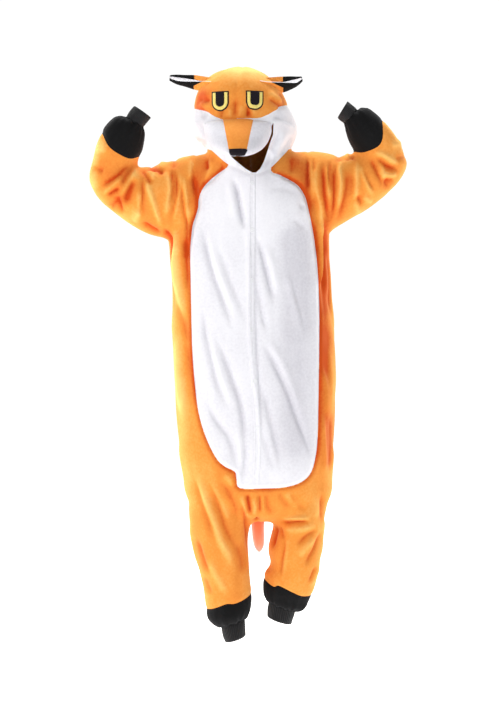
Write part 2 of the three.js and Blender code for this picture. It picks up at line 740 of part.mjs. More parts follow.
// A closed sheet between two offsets from an open grid of points.
function sheetSolid(grid, from, to, towards) {
  const rows = grid.length;
  const columns = grid[0].length;
  const surface = (offset) => grid.flatMap((line, row) => line.map((point, column) => {
    const [before, after] = [grid[Math.max(row - 1, 0)], grid[Math.min(row + 1, rows - 1)]];
    const along = after[column].clone().sub(before[column]);
    const across = line[Math.min(column + 1, columns - 1)].clone().sub(line[Math.max(column - 1, 0)]);
    const normal = across.cross(along).normalize().multiplyScalar(towards);
    return point.clone().addScaledVector(normal, offset);
  }));
  const vertices = [...surface(from), ...surface(to)];
  const second = rows * columns;
  const triangles = [];
  const quad = (a, b, c, d) => triangles.push([a, b, c], [a, c, d]);
  for (let row = 0; row < rows - 1; row += 1) {
    for (let column = 0; column < columns - 1; column += 1) {
      const at = row * columns + column;
      quad(at, at + 1, at + columns + 1, at + columns);
      quad(second + at, second + at + columns, second + at + columns + 1, second + at + 1);
    }
    const left = row * columns;
    const right = left + columns - 1;
    quad(left, left + columns, second + left + columns, second + left);
    quad(right + columns, right, second + right, second + right + columns);
  }
  for (let column = 0; column < columns - 1; column += 1) {
    const bottom = (rows - 1) * columns + column;
    quad(column + 1, column, second + column, second + column + 1);
    quad(bottom, bottom + 1, second + bottom + 1, second + bottom);
  }
  return facingOut(vertices, triangles);
}

for (const [side, ear] of Object.entries(ears)) {
  const grid = ear.sections.map((section) => {
    const front = new THREE.Vector3(section.x, section.frontY, section.frontZ);
    const rear = new THREE.Vector3(section.x, section.rearY, section.rearZ);
    const fold = new THREE.Vector3(section.x, section.foldY, section.foldZ);
    const control = fold.clone().multiplyScalar(2).sub(front.clone().add(rear).multiplyScalar(0.5));
    return new THREE.QuadraticBezierCurve3(front, control, rear).getPoints(earSteps);
  });
  const towards = side === 'left' ? -1 : 1;
  const { foldY } = ear.sections[2];
  const rearEdge = (share) => grid.map((line) => [
    line.at(-2).clone().lerp(line.at(-1), 1 - share), line.at(-1)]);
  const cover = sheetSolid(grid, 0, cloth, towards)
    .add(sheetSolid(rearEdge(earHem), -cloth, seam, towards));
  const outside = cutApart(cover.subtract(overHood), [
    blade(ear.frontChange, 'front', -reach, foldY),
    blade(ear.rearChange, 'front', foldY, reach),
  ], { outer: ear.outerPoint, tip: ear.tipPoint });
  addPiece(`ear_outer_${side}`, outside.outer, 'orange');
  addPiece(`ear_tip_${side}`, outside.tip, 'black');
  const lining = sheetSolid(grid, -seam - cloth, -seam, towards).subtract(overHood)
    .subtract(sheetSolid(rearEdge(earHem + hemClear), -reachOfHem, reachOfHem, towards));
  addPiece(`ear_inner_${side}`, cutApart(lining, [], { lining: ear.liningPoint }).lining, 'white');
}

// ---- Stuffed tail, sewn to the centre back seam ----
const overSuit = ['body', 'leg_left', 'leg_right']
  .map((name) => solidOfTube(tubes[name], seam)).reduce((whole, solid) => whole.add(solid));
const tail = cutApart(solidOfTube(makeTube(tailSections, 'tail', false), 0).subtract(overSuit), [
  blade([[-200, tailTipHeight], [200, tailTipHeight]], 'front', -reach, reach),
], { tail_base: [0, 290, -840], tail_tip: [20, 194, -1110] });
addPiece('tail_base', tail.tail_base, 'orange');
addPiece('tail_tip', tail.tail_tip, 'white');

export default onesie;
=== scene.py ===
import math

import bpy
import numpy as np
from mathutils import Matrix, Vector
from mathutils.bvhtree import BVHTree
from mathutils.kdtree import KDTree


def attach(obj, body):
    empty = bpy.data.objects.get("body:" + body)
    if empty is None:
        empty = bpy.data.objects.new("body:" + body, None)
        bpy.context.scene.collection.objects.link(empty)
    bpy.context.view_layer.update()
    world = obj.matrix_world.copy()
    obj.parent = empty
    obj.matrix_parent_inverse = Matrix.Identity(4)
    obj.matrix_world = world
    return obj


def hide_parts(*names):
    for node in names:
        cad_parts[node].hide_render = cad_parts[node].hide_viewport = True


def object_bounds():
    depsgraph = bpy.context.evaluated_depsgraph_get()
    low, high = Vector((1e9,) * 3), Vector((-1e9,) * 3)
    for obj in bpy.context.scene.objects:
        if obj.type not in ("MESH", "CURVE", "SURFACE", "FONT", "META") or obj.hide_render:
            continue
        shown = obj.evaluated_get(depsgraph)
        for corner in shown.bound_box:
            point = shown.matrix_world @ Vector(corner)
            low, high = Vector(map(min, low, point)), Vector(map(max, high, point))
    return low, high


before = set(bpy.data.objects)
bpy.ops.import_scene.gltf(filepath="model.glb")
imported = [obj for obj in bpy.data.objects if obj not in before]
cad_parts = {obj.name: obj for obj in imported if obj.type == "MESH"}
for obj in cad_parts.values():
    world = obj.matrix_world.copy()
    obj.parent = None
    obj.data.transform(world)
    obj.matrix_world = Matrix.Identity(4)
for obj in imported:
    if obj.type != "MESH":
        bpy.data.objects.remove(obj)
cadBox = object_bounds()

mm = 0.001  # the tables below are in millimetres, as a pattern cutter would give them
seamGap = 0.08  # the width of the cut between two panels
clothThickness = 2.2


# ---- Shader maths ----
class Value:  # one socket, used in plain arithmetic
    def __init__(self, finish, socket):
        self.finish = finish
        self.socket = socket

    def maths(self, operation, first, second):
        return self.finish.node("ShaderNodeMath", {"operation": operation}, {0: first, 1: second})

    def __add__(self, other):
        return self.maths("ADD", self, other)

    def __sub__(self, other):
        return self.maths("SUBTRACT", self, other)

    def __rsub__(self, other):
        return self.maths("SUBTRACT", other, self)

    def __mul__(self, other):
        return self.maths("MULTIPLY", self, other)

    __radd__ = __add__
    __rmul__ = __mul__


class Finish:  # one material, or the sky, and the nodes that make it
    def __init__(self, name, tree=None):
        if tree is None:
            self.material = bpy.data.materials.new(name)
            self.material.use_nodes = True
            tree = self.material.node_tree
        self.tree = tree
        self.tree.nodes.clear()

    def node(self, kind, settings=None, sockets=None, output=0):
        made = self.tree.nodes.new(kind)
        for key, value in (settings or {}).items():
            if key == "stops":
                ramp = made.color_ramp
                while len(ramp.elements) < len(value):
                    ramp.elements.new(0.5)
                for element, (place, colour) in zip(ramp.elements, value):
                    element.position = place
                    element.color = colour
            else:
                setattr(made, key, value)
        for key, value in (sockets or {}).items():
            if isinstance(value, Value):
                self.tree.links.new(value.socket, made.inputs[key])
            else:
                made.inputs[key].default_value = value
        return Value(self, made.outputs[output])

    def mixed(self, share, first, second):
        return self.node("ShaderNodeMix", {"data_type": "RGBA"}, {0: share, 6: first, 7: second}, 2)

    def noise(self, place, scale, detail):
        return self.node("ShaderNodeTexNoise", None, {"Vector": place, "Scale": scale, "Detail": detail})

    def surface(self, sockets):
        shader = self.node("ShaderNodeBsdfPrincipled", None, sockets)
        end = self.tree.nodes.new("ShaderNodeOutputMaterial")
        self.tree.links.new(shader.socket, end.inputs["Surface"])
        return self.material


def linear(red, green, blue):
    parts = []
    for part in (red, green, blue):
        share = part / 255
        parts.append(share / 12.92 if share <= 0.04045 else ((share + 0.055) / 1.055) ** 2.4)
    return (*parts, 1.0)


def coordinates(finish):
    return finish.node("ShaderNodeTexCoord", output="Object")


def ramped(finish, tone, places, colours):  # a tone turned into colour
    stops = [(place, linear(*colour)) for place, colour in zip(places, colours)]
    return finish.node("ShaderNodeValToRGB", {"stops": stops}, {"Fac": tone})


# painted shading: a tone on each point, with painted shade in troughs, seams and rib valleys and painted
# light on crests, and some random tone
def paintedShadingTone(finish):
    return finish.node("ShaderNodeAttribute", {"attribute_name": "crease"}, None, "Fac")


def clothSurface(finish, colour, height, look, more=None):
    normal = finish.node("ShaderNodeBump", None, {
        "Height": height, "Strength": look["bumpStrength"], "Distance": look["bumpDistance"]})
    return finish.surface({
        "Base Color": colour, "Normal": normal, "Roughness": look["roughness"],
        "Specular IOR Level": look["shine"], "Sheen Weight": look["sheen"],
        "Sheen Roughness": look["sheenRoughness"], **(more or {})})


fleeceLook = {
    "patchScale": 7.0,  # broad, faint changes of tone
    "clumpScale": 150.0,  # tufts where the pile has rubbed together
    "napScale": 650.0,
    "paintedShadingShare": 0.85,  # how much the painted shade and light of folds and seams change the tone
    "patchShare": 0.16,
    "clumpShare": 0.2,
    "clumpHeight": 0.7,
    "napHeight": 0.5,
    "tones": (0.12, 0.5, 0.86),  # where the colour for painted shade and darker patches, the middle colour and the colour for painted light and lighter patches stand
    "bumpStrength": 0.32,
    "bumpDistance": 0.0012,
    "roughness": 0.94,
    "shine": 0.18,
    "sheen": 0.55,
    "sheenRoughness": 0.42,
}


def fleece(name, deep, middle, light, sheenTint, look=fleeceLook, paintedBounce=None):
    finish = Finish(name)
    place = coordinates(finish)
    crease = paintedShadingTone(finish)
    patches = finish.noise(place, look["patchScale"], 3.0)
    clumps = finish.noise(place, look["clumpScale"], 3.0)
    nap = finish.noise(place, look["napScale"], 2.0)
    tone = (crease - 0.5) * look["paintedShadingShare"] + (patches - 0.5) * look["patchShare"]
    tone = tone + (clumps - 0.5) * look["clumpShare"] + 0.5
    colour = ramped(finish, tone, look["tones"], (deep, middle, light))
    if paintedBounce:  # painted reflected light of another colour towards the top: the colour, where it ends and where it is full
        upper, low, high = paintedBounce
        z = finish.node("ShaderNodeSeparateXYZ", None, {"Vector": place}, "Z")
        share = finish.node("ShaderNodeMapRange", None, {"Value": z, "From Min": low, "From Max": high})
        colour = finish.mixed(share, colour, linear(*upper))
    height = clumps * look["clumpHeight"] + nap * look["napHeight"]
    return clothSurface(finish, colour, height, look, {"Sheen Tint": linear(*sheenTint)})


ribLook = {
    "yarnScale": 900.0,
    "ribShare": 0.75,
    "yarnShare": 0.35,
    "tones": (0.15, 0.95),
    "bumpStrength": 0.4,
    "bumpDistance": 0.0006,
    "roughness": 0.85,
    "shine": 0.25,
    "sheen": 0.25,
    "sheenRoughness": 0.5,
}


def ribKnit(name, dark, light, look=ribLook):
    finish = Finish(name)
    place = coordinates(finish)
    rib = paintedShadingTone(finish)
    yarn = finish.noise(place, look["yarnScale"], 2.0)
    tone = rib * look["ribShare"] + yarn * look["yarnShare"]
    return clothSurface(finish, ramped(finish, tone, look["tones"], (dark, light)), yarn, look)


feltLook = {
    "fibreScale": 520.0,
    "tones": (0.3, 0.72),
    "bumpStrength": 0.35,
    "bumpDistance": 0.0005,
    "roughness": 0.9,
    "shine": 0.2,
    "sheen": 0.15,
    "sheenRoughness": 0.4,
}


def felt(name, dark, light, look=feltLook):
    finish = Finish(name)
    fibres = finish.noise(coordinates(finish), look["fibreScale"], 4.0)
    return clothSurface(finish, ramped(finish, fibres, look["tones"], (dark, light)), fibres, look)


resinLook = {
    "rubbedScale": 260.0,
    "rubbedDarker": 10,
    "roughness": 0.28,
    "rubbedRoughness": 0.2,
    "shine": 0.5,
    "coat": 0.15,
}


def resin(name, colour, look=resinLook):
    finish = Finish(name)
    rubbed = finish.noise(coordinates(finish), look["rubbedScale"], 3.0)
    darker = [part - look["rubbedDarker"] for part in colour]
    return finish.surface({
        "Base Color": finish.mixed(rubbed, linear(*darker), linear(*colour)),
        "Roughness": rubbed * look["rubbedRoughness"] + look["roughness"],
        "Specular IOR Level": look["shine"], "Coat Weight": look["coat"]})


whiteLook = dict(fleeceLook, paintedShadingShare=0.36, sheen=0.25)
blackLook = dict(fleeceLook, sheen=0.2)
tipPaintedBounce = ((220, 136, 112), -1.17, -1.07)  # painted orange reflected light from the tail above, on the top of the tail's white tip
finishes = {  # colour in painted shade, middle colour and colour in painted light, each also for darker and lighter patches, and the tint of the sheen
    "orange": fleece("orangeFleece", (204, 74, 16), (236, 149, 63), (254, 208, 124), (255, 218, 140)),
    "white": fleece("whiteFleece", (186, 184, 194), (234, 234, 240), (252, 252, 255),
                    (255, 255, 255), whiteLook),
    "black": fleece("blackFleece", (6, 6, 7), (15, 15, 16), (38, 38, 40), (110, 110, 116), blackLook),
    # the white tip, painted greyer and pinker for the shade and the reflected orange it sits in
    "tailTip": fleece("paleFleece", (196, 170, 162), (216, 194, 186), (232, 214, 206),
                      (255, 220, 205), blackLook, tipPaintedBounce),
    "rib": ribKnit("blackRib", (5, 5, 6), (32, 32, 34)),
    "feltBlack": felt("blackFelt", (12, 9, 14), (34, 28, 36)),
    "feltYellow": felt("yellowFelt", (226, 200, 96), (252, 238, 150), dict(feltLook, sheen=0.2)),
    "snap": resin("snapResin", (238, 239, 243)),
}
print("finishes made:", len(finishes))


# ---- Meshes ----
def newPiece(name, points, faces, smooth=True):
    mesh = bpy.data.meshes.new(name)
    mesh.from_pydata((np.asarray(points) * mm).tolist(), [], faces)
    mesh.polygons.foreach_set("use_smooth", [smooth] * len(mesh.polygons))
    mesh.update()
    piece = bpy.data.objects.new(name, mesh)
    bpy.context.scene.collection.objects.link(piece)
    return piece


def pointsOf(piece):
    flat = np.empty(3 * len(piece.data.vertices))
    piece.data.vertices.foreach_get("co", flat)
    return flat.reshape(-1, 3) / mm


def normalsOf(piece):
    flat = np.empty(3 * len(piece.data.vertices))
    piece.data.vertex_normals.foreach_get("vector", flat)
    return flat.reshape(-1, 3)


def edgesOf(piece):
    flat = np.empty(2 * len(piece.data.edges), dtype=np.int64)
    piece.data.edges.foreach_get("vertices", flat)
    return flat.reshape(-1, 2)


def movePoints(piece, points):
    piece.data.vertices.foreach_set("co", (points * mm).ravel())
    piece.data.update()


def facesOf(piece):
    return [tuple(face.vertices) for face in piece.data.polygons]


def settled(piece):  # turns the modifiers into plain mesh
    graph = bpy.context.evaluated_depsgraph_get()
    mesh = bpy.data.meshes.new_from_object(piece.evaluated_get(graph))
    piece.modifiers.clear()
    piece.data = mesh
    return piece


def discard(piece):
    bpy.data.objects.remove(piece, do_unlink=True)


def relaxed(points, edges, share, rounds):
    count = len(points)
    degree = np.maximum(np.bincount(edges.ravel(), minlength=count), 1)[:, None]
    for _ in range(rounds):
        around = np.empty_like(points)
        for axis in range(3):
            around[:, axis] = np.bincount(edges[:, 0], points[edges[:, 1], axis], count)
            around[:, axis] += np.bincount(edges[:, 1], points[edges[:, 0], axis], count)
        points = points + share * (around / degree - points)
    return points


lumpValues = 4096
lumpPrimes = np.array([73856093, 19349663, 83492791])  # these scatter the cells over the values


def lumps(points, size, seed):  # smooth random heights from -1 to 1, about one lump a size
    values = np.random.default_rng(seed).uniform(-1, 1, lumpValues)
    scaled = points / np.array(size)
    cell = np.floor(scaled).astype(np.int64)
    part = scaled - cell
    part = part * part * (3 - 2 * part)
    total = np.zeros(len(points))
    for corner in np.ndindex(2, 2, 2):
        key = (cell + corner) @ lumpPrimes
        weight = np.prod(np.where(corner, part, 1 - part), axis=1)
        total += weight * values[key % lumpValues]
    return total


def smoothLine(line, steps=6):
    line = np.asarray(line, float)
    if len(line) < 3:
        return line
    padded = np.vstack([2 * line[0] - line[1], line, 2 * line[-1] - line[-2]])
    made = []
    for index in range(1, len(padded) - 2):
        a, b, c, d = padded[index - 1:index + 3]
        for t in np.arange(steps) / steps:
            made.append(0.5 * (2 * b + (c - a) * t + (2 * a - 5 * b + 4 * c - d) * t ** 2
                               + (3 * b - 3 * c + d - a) * t ** 3))
    return np.vstack([made, line[-1]])


def smoothLoop(line, steps=4):
    line = np.asarray(line, float)
    made = smoothLine(np.vstack([line[-2:], line, line[:3]]), steps)
    return made[2 * steps:(2 + len(line)) * steps]


def distanceTo(points, line):  # distance, side and the share of the line that lies behind
    start = line[:-1]
    step = line[1:] - start
    lengths = np.maximum(np.linalg.norm(step, axis=1), 1e-6)
    along = np.einsum("nmk,mk->nm", points[:, None] - start, step) / lengths ** 2
    along = np.clip(along, 0, 1)
    apart = points[:, None] - (start + along[..., None] * step)
    distance = np.linalg.norm(apart, axis=2)
    best = np.argmin(distance, axis=1)
    row = np.arange(len(points))
    run = step[best]
    side = np.sign(run[:, 0] * apart[row, best, 1] - run[:, 1] * apart[row, best, 0])
    before = np.concatenate([[0], np.cumsum(lengths)])[best]
    share = (before + along[row, best] * lengths[best]) / lengths.sum()
    return distance[row, best], side, share


def eased(value):
    value = np.clip(value, 0, 1)
    return value * value * (3 - 2 * value)


def bump(distance, at, spread):  # 1 at that distance, dying away on both sides of it
    return np.exp(-((distance - at) / spread) ** 2)


def nearTo(points, line, reach):  # which points lie in the line's box and the reach around it
    return np.all((points > line.min(0) - reach) & (points < line.max(0) + reach), axis=1)


foldEnd = 0.3  # the share of its length over which a fold dies away
crestPower = 1.9
troughPower = 1.35  # less than a crest's, so a trough is sharper


def foldHeights(points, rows):
    total = np.zeros(len(points))
    for width, height, lean, *line in rows:
        line = smoothLine(np.reshape(line, (-1, 2)))
        near = nearTo(points, line, 3 * width)
        if not near.any():
            continue
        distance, side, share = distanceTo(points[near], line)
        taper = eased(share / foldEnd) * eased((1 - share) / foldEnd)
        across = distance / width
        power = crestPower if height > 0 else troughPower
        profile = np.exp(-across ** power) * (1 + lean * side * across)
        total[near] += height * taper * profile
    return total


# ---- Tubes of cloth from their sections ----
# Level sections: height, left and right edge, the bulge to the front and to the back, the depth of
# their middle, and how much they rise from front to back. Slanting ones give both edges in full.
def slanting(rows):
    return [(left, z, right, z, front, back, middle, rise)
            for z, left, right, front, back, middle, rise in rows]


def pairedEdges(rows):
    made = []
    for x1, z1, x2, z2, front, back, middle in rows:
        low, high = sorted([(x1, z1), (x2, z2)])
        made.append((*low, *high, front, back, middle, 0))
    return made


def curveThrough(places, at, rows):  # smooth values at the places, from the rows' values
    slopes = np.gradient(rows, at, axis=0)
    index = np.clip(np.searchsorted(at, places) - 1, 0, len(at) - 2)
    span = (at[index + 1] - at[index])[:, None]
    t = (places - at[index])[:, None] / span
    return ((2 * t ** 3 - 3 * t ** 2 + 1) * rows[index] + (t ** 3 - 2 * t ** 2 + t) * span * slopes[index]
            + (3 * t ** 2 - 2 * t ** 3) * rows[index + 1] + (t ** 3 - t ** 2) * span * slopes[index + 1])


def sectionsBetween(rows, spacing):
    rows = np.array(rows, float)
    middles = np.column_stack([(rows[:, 0] + rows[:, 2]) / 2, rows[:, 6], (rows[:, 1] + rows[:, 3]) / 2])
    at = np.concatenate([[0], np.cumsum(np.linalg.norm(np.diff(middles, axis=0), axis=1))])
    return curveThrough(np.linspace(0, at[-1], max(3, int(at[-1] / spacing))), at, rows)


def ringPoints(section, around, power):
    x1, z1, x2, z2, front, back, middle, rise = section
    angle = np.arange(around) * 2 * np.pi / around
    across = np.sign(np.cos(angle)) * np.abs(np.cos(angle)) ** (1 / power)
    deep = np.sign(np.sin(angle)) * np.abs(np.sin(angle)) ** (1 / power)
    depth = deep * np.where(deep < 0, front, back)
    return np.column_stack([
        (x1 + x2) / 2 + across * (x2 - x1) / 2,
        middle + depth,
        (z1 + z2) / 2 + across * (z2 - z1) / 2 + rise * depth])


def tubeMesh(rows, around, power, spacing):
    rings = [ringPoints(section, around, power) for section in sectionsBetween(rows, spacing)]
    points = np.vstack([*rings, rings[0].mean(0)[None], rings[-1].mean(0)[None]])
    faces = []
    last = len(rings) - 1
    for row in range(last):
        for column in range(around):
            after = (column + 1) % around
            a, b = row * around + column, row * around + after
            faces.append((a, b, b + around, a + around))
    for column in range(around):
        after = (column + 1) % around
        faces.append((len(points) - 2, after, column))
        faces.append((len(points) - 1, last * around + column, last * around + after))
    return outward(points, faces)


def outward(points, faces):
    volume = 0.0
    for face in faces:
        a = points[face[0]]
        for one, other in zip(face[1:-1], face[2:]):
            volume += a @ np.cross(points[one], points[other])
    return points, faces if volume > 0 else [tuple(reversed(face)) for face in faces]


def joined(name, parts):
    points, faces, start = [], [], 0
    for some, theirs in parts:
        points.append(some)
        faces += [tuple(index + start for index in face) for face in theirs]
        start += len(some)
    return newPiece(name, np.vstack(points), faces)


def skinned(piece, voxel):  # one closed skin over everything in the piece
    skin = piece.modifiers.new("skin", "REMESH")
    skin.mode = "VOXEL"
    skin.voxel_size = voxel * mm
    skin.use_smooth_shade = True
    return settled(piece)


# ---- Camera, light and floor ----
studio = {
    "cameraPlace": (-0.0057, -4.6, -0.38),
    "aim": (-0.0057, 0.0, -0.5757),
    "lens": 80.77,
    "floorGap": 0.155,  # below the ankle cuffs, where the feet would stand
    "floorSize": 30.0,
    "skyBehind": 1.05,  # a white wall lit from the sides, behind the object
    "skyBefore": 0.36,
    "skyRange": (-0.2, 0.7),  # how far forwards and back the sky changes from one to the other
    "floorGlow": 0.62,
    "floorTones": ((0.9, 0.9, 0.91, 1), (0.94, 0.94, 0.94, 1)),
    "floorRoughness": 0.95,
    "grainScale": 3.0,
}
lamps = {  # place, aim, size, strength, colour
    "key": ((-2.6, -2.8, 1.6), (0, 0, -0.5), 2.0, 57, (1.0, 0.98, 0.95)),
    "fill": ((2.4, -3.0, 0.2), (0, 0, -0.6), 2.6, 3, (0.95, 0.97, 1.0)),
    "rimLeft": ((-2.4, 1.5, 0.3), (0, 0, -0.6), 1.8, 66, (1.0, 0.97, 0.9)),
    "rimRight": ((2.4, 1.7, 0.2), (0, 0, -0.6), 1.6, 46, (1.0, 0.97, 0.9)),
    "top": ((0, 0.9, 2.4), (0, 0, 0), 1.6, 94, (1.0, 1.0, 1.0)),
}


def turnedTo(thing, place, aim):
    thing.location = place
    thing.rotation_euler = (Vector(aim) - Vector(place)).to_track_quat("-Z", "Y").to_euler()


def makeStudio():
    scene = bpy.context.scene
    camera = bpy.data.objects.new("camera", bpy.data.cameras.new("camera"))
    camera.data.lens = studio["lens"]
    scene.collection.objects.link(camera)
    turnedTo(camera, studio["cameraPlace"], studio["aim"])
    scene.camera = camera
    for name, (place, aim, size, strength, colour) in lamps.items():
        light = bpy.data.lights.new(name, "AREA")
        light.shape = "DISK"
        light.size = size
        light.energy = strength
        light.color = colour
        lamp = bpy.data.objects.new(name, light)
        scene.collection.objects.link(lamp)
        turnedTo(lamp, place, aim)
    scene.world = bpy.data.worlds.new("sky")
    scene.world.use_nodes = True
    sky = Finish("sky", scene.world.node_tree)
    way = sky.node("ShaderNodeTexCoord", output="Generated")
    depth = sky.node("ShaderNodeSeparateXYZ", None, {"Vector": way}, "Y")
    forwards, backwards = studio["skyRange"]
    strength = sky.node("ShaderNodeMapRange", None, {
        "Value": depth, "From Min": forwards, "From Max": backwards,
        "To Min": studio["skyBefore"], "To Max": studio["skyBehind"]})
    light = sky.node("ShaderNodeBackground", None, {"Color": (1, 1, 1, 1), "Strength": strength})
    end = sky.tree.nodes.new("ShaderNodeOutputWorld")
    sky.tree.links.new(light.socket, end.inputs["Surface"])
    scene.view_settings.view_transform = "Standard"

    lowest = (cadBox[0][2] - studio["floorGap"]) / mm
    half = studio["floorSize"] / 2 / mm
    corners = [(-half, -half, lowest), (half, -half, lowest), (half, half, lowest), (-half, half, lowest)]
    floor = newPiece("floor", corners, [(0, 1, 2, 3)], smooth=False)
    paper = Finish("paper")
    grain = paper.noise(coordinates(paper), studio["grainScale"], 2.0)
    tone = paper.mixed(grain, *studio["floorTones"])
    floor.data.materials.append(paper.surface({
        "Base Color": tone, "Roughness": studio["floorRoughness"], "Emission Color": tone,
        "Emission Strength": studio["floorGlow"]}))


makeStudio()
print("studio set up")


# ---- Cutting and laying ----
def pathPoints(u, v, depth, view):  # a drawing in one view, put into space
    u, v, depth = np.broadcast_arrays(u, v, depth)
    order = {"front": (u, depth, v), "top": (u, v, depth), "side": (depth, u, v)}[view]
    return np.column_stack([np.ravel(part) for part in order])


def inView(points, view):
    return points[:, {"front": [0, 2], "top": [0, 1], "side": [1, 2]}[view]]


def besideLine(line, distance, closed):
    line = np.asarray(line, float)
    before = np.roll(line, 1, axis=0)
    after = np.roll(line, -1, axis=0)
    if not closed:
        before[0] = 2 * line[0] - line[1]
        after[-1] = 2 * line[-1] - line[-2]
    first = line - before
    second = after - line
    first /= np.linalg.norm(first, axis=1)[:, None]
    second /= np.linalg.norm(second, axis=1)[:, None]
    mean = first + second
    mean /= np.linalg.norm(mean, axis=1)[:, None]
    aside = np.column_stack([-mean[:, 1], mean[:, 0]])
    stretch = np.maximum(0.5, aside[:, 0] * -first[:, 1] + aside[:, 1] * first[:, 0])
    return line + aside * (distance / stretch)[:, None]


def blade(line, view, start, end, closed=False):  # a thin wall that parts two panels
    sides = [besideLine(line, side * seamGap / 2, closed) for side in (1, -1)]
    count = len(line)
    rows = []
    for side, depth in ((0, start), (1, start), (1, end), (0, end)):
        rows.append(pathPoints(sides[side][:, 0], sides[side][:, 1], depth, view))
    faces = []
    for index in range(count if closed else count - 1):
        after = (index + 1) % count
        for row in range(4):
            other = (row + 1) % 4
            faces.append((row * count + index, row * count + after,
                          other * count + after, other * count + index))
    if not closed:
        faces.append(tuple(row * count for row in range(4)))
        faces.append(tuple(row * count + count - 1 for row in (3, 2, 1, 0)))
    return newPiece("blade", *outward(np.vstack(rows), faces))


def prism(outline, view, start, end):
    outline = np.asarray(outline, float)
    count = len(outline)
    points = np.vstack([pathPoints(outline[:, 0], outline[:, 1], depth, view) for depth in (start, end)])
    faces = [tuple(range(count)), tuple(range(2 * count - 1, count - 1, -1))]
    for index in range(count):
        after = (index + 1) % count
        faces.append((index, index + count, after + count, after))
    return newPiece("prism", *outward(points, faces))


def carved(piece, cutters, operation="DIFFERENCE"):
    for cutter in cutters:
        cut = piece.modifiers.new("cut", "BOOLEAN")
        cut.object = cutter
        cut.operation = operation
        cut.solver = "MANIFOLD"
    settled(piece)
    for cutter in cutters:
        discard(cutter)
    return piece


def partedInto(piece, wanted):  # name: a point on the part that gets it
    bpy.ops.object.select_all(action="DESELECT")
    piece.select_set(True)
    bpy.context.view_layer.objects.active = piece
    bpy.ops.mesh.separate(type="LOOSE")
    parts = list(bpy.context.selected_objects)
    clouds = {part: pointsOf(part) for part in parts}
    found = {}
    for name, place in wanted.items():
        found[name] = min(parts, key=lambda part: ((clouds[part] - place) ** 2).sum(1).min())
        found[name].name = name
    for part in parts:
        if part not in found.values():
            discard(part)
    return found


def treeOf(piece):
    return BVHTree.FromPolygons([tuple(point) for point in pointsOf(piece)], facesOf(piece))


def placesOf(piece):  # to look up the nearest of its points
    points = pointsOf(piece)
    places = KDTree(len(points))
    for index, point in enumerate(points):
        places.insert(point, index)
    places.balance()
    return places


def takenFrom(piece, values, places):  # for each point, the value at the nearest of the places
    return np.array([values[places.find(point)[1]] for point in pointsOf(piece)])


wellInFront = -600
justInFront = -250


def struck(tree, x, z):  # where the surface is met, looking from the front
    hit, normal, _, _ = tree.ray_cast(Vector((x, wellInFront, z)), Vector((0, 1, 0)))
    if hit is None:  # just past the edge of the form
        hit, normal, _, _ = tree.find_nearest(Vector((x, justInFront, z)))
    return hit, normal


def closedSheet(upper, lower, rows, columns):  # two grids of points joined round their edges
    count = rows * columns
    faces = []
    for row in range(rows - 1):
        for column in range(columns - 1):
            a = row * columns + column
            faces.append((a, a + 1, a + columns + 1, a + columns))
            faces.append((count + a, count + a + columns, count + a + columns + 1, count + a + 1))
    rim = list(range(columns)) + [row * columns + columns - 1 for row in range(1, rows)]
    rim += [(rows - 1) * columns + column for column in range(columns - 2, -1, -1)]
    rim += [row * columns for row in range(rows - 2, 0, -1)]
    for one, other in zip(rim, rim[1:] + rim[:1]):
        faces.append((one, count + one, count + other, other))
    return outward(np.vstack([upper, lower]), faces)


# stores the painted shading tone on each point
def setPaintedShading(piece, values):
    layer = piece.data.attributes.get("crease")
    if layer:
        piece.data.attributes.remove(layer)
    layer = piece.data.attributes.new("crease", "FLOAT", "POINT")
    layer.data.foreach_set("value", np.clip(values, 0, 1).astype(np.float32))


def dressed(piece, node, finish, sharp=50):
    piece.data.polygons.foreach_set("use_smooth", [True] * len(piece.data.polygons))
    piece.data.set_sharp_from_angle(angle=math.radians(sharp))
    if "crease" not in piece.data.attributes:
        setPaintedShading(piece, np.full(len(piece.data.vertices), 0.5))
    piece.data.materials.clear()
    piece.data.materials.append(finishes[finish])
    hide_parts(node)
    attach(piece, "root")
    return piece


def camelCase(node):
    first, *rest = node.split("_")
    return first + "".join(word.capitalize() for word in rest)


# ---- The suit and hood: sections ----
bodyRows = slanting([
    (34, -57, 46, 60, 80, 0, 0),
    (12, -117, 113, 94, 100, 0, 0),
    (-6, -154, 163, 105, 108, 0, 0),
    (-40, -178, 184, 115, 116, 0, 0),
    (-110, -205, 203, 127, 125, 0, 0),
    (-180, -223, 217, 132, 130, 0, 0),
    (-250, -238, 222, 134, 132, 0, 0),
    (-340, -228, 224, 137, 130, 0, 0),
    (-440, -224, 227, 139, 130, 0, 0),
    (-515, -224, 235, 141, 133, 0, 0),
    (-590, -220, 239, 142, 136, 0, 0),
    (-720, -216, 239, 142, 143, 0, 0),
    (-830, -206, 234, 140, 144, 0, 0),
    (-910, -192, 223, 134, 142, 0, 0),
    (-972, -183, 220, 120, 132, 0, 0),
    (-1006, -165, 199, 97, 108, 0, 0),
    (-1026, -125, 156, 66, 76, 0, 0),
    (-1035, -68, 108, 40, 45, 0, 0),
])
hoodRows = slanting([
    (-42, -57, 63, 80, 80, -12, 0.35),
    (-13, -84, 89, 94, 91, -12, 0.34),
    (18, -121, 105, 107, 100, -14, 0.3),
    (40, -148, 120, 117, 107, -15, 0.25),
    (63, -170, 128, 125, 115, -15, 0.2),
    (98, -172, 124, 134, 125, -15, 0.08),
    (138, -164, 104, 138, 130, -15, 0.02),
    (177, -155, 86, 135, 128, -14, 0),
    (209, -135, 60, 119, 113, -11, 0),
    (235, -100, 31, 86, 84, -8, 0),
    (250, -58, -3, 36, 36, -5, 0),
])
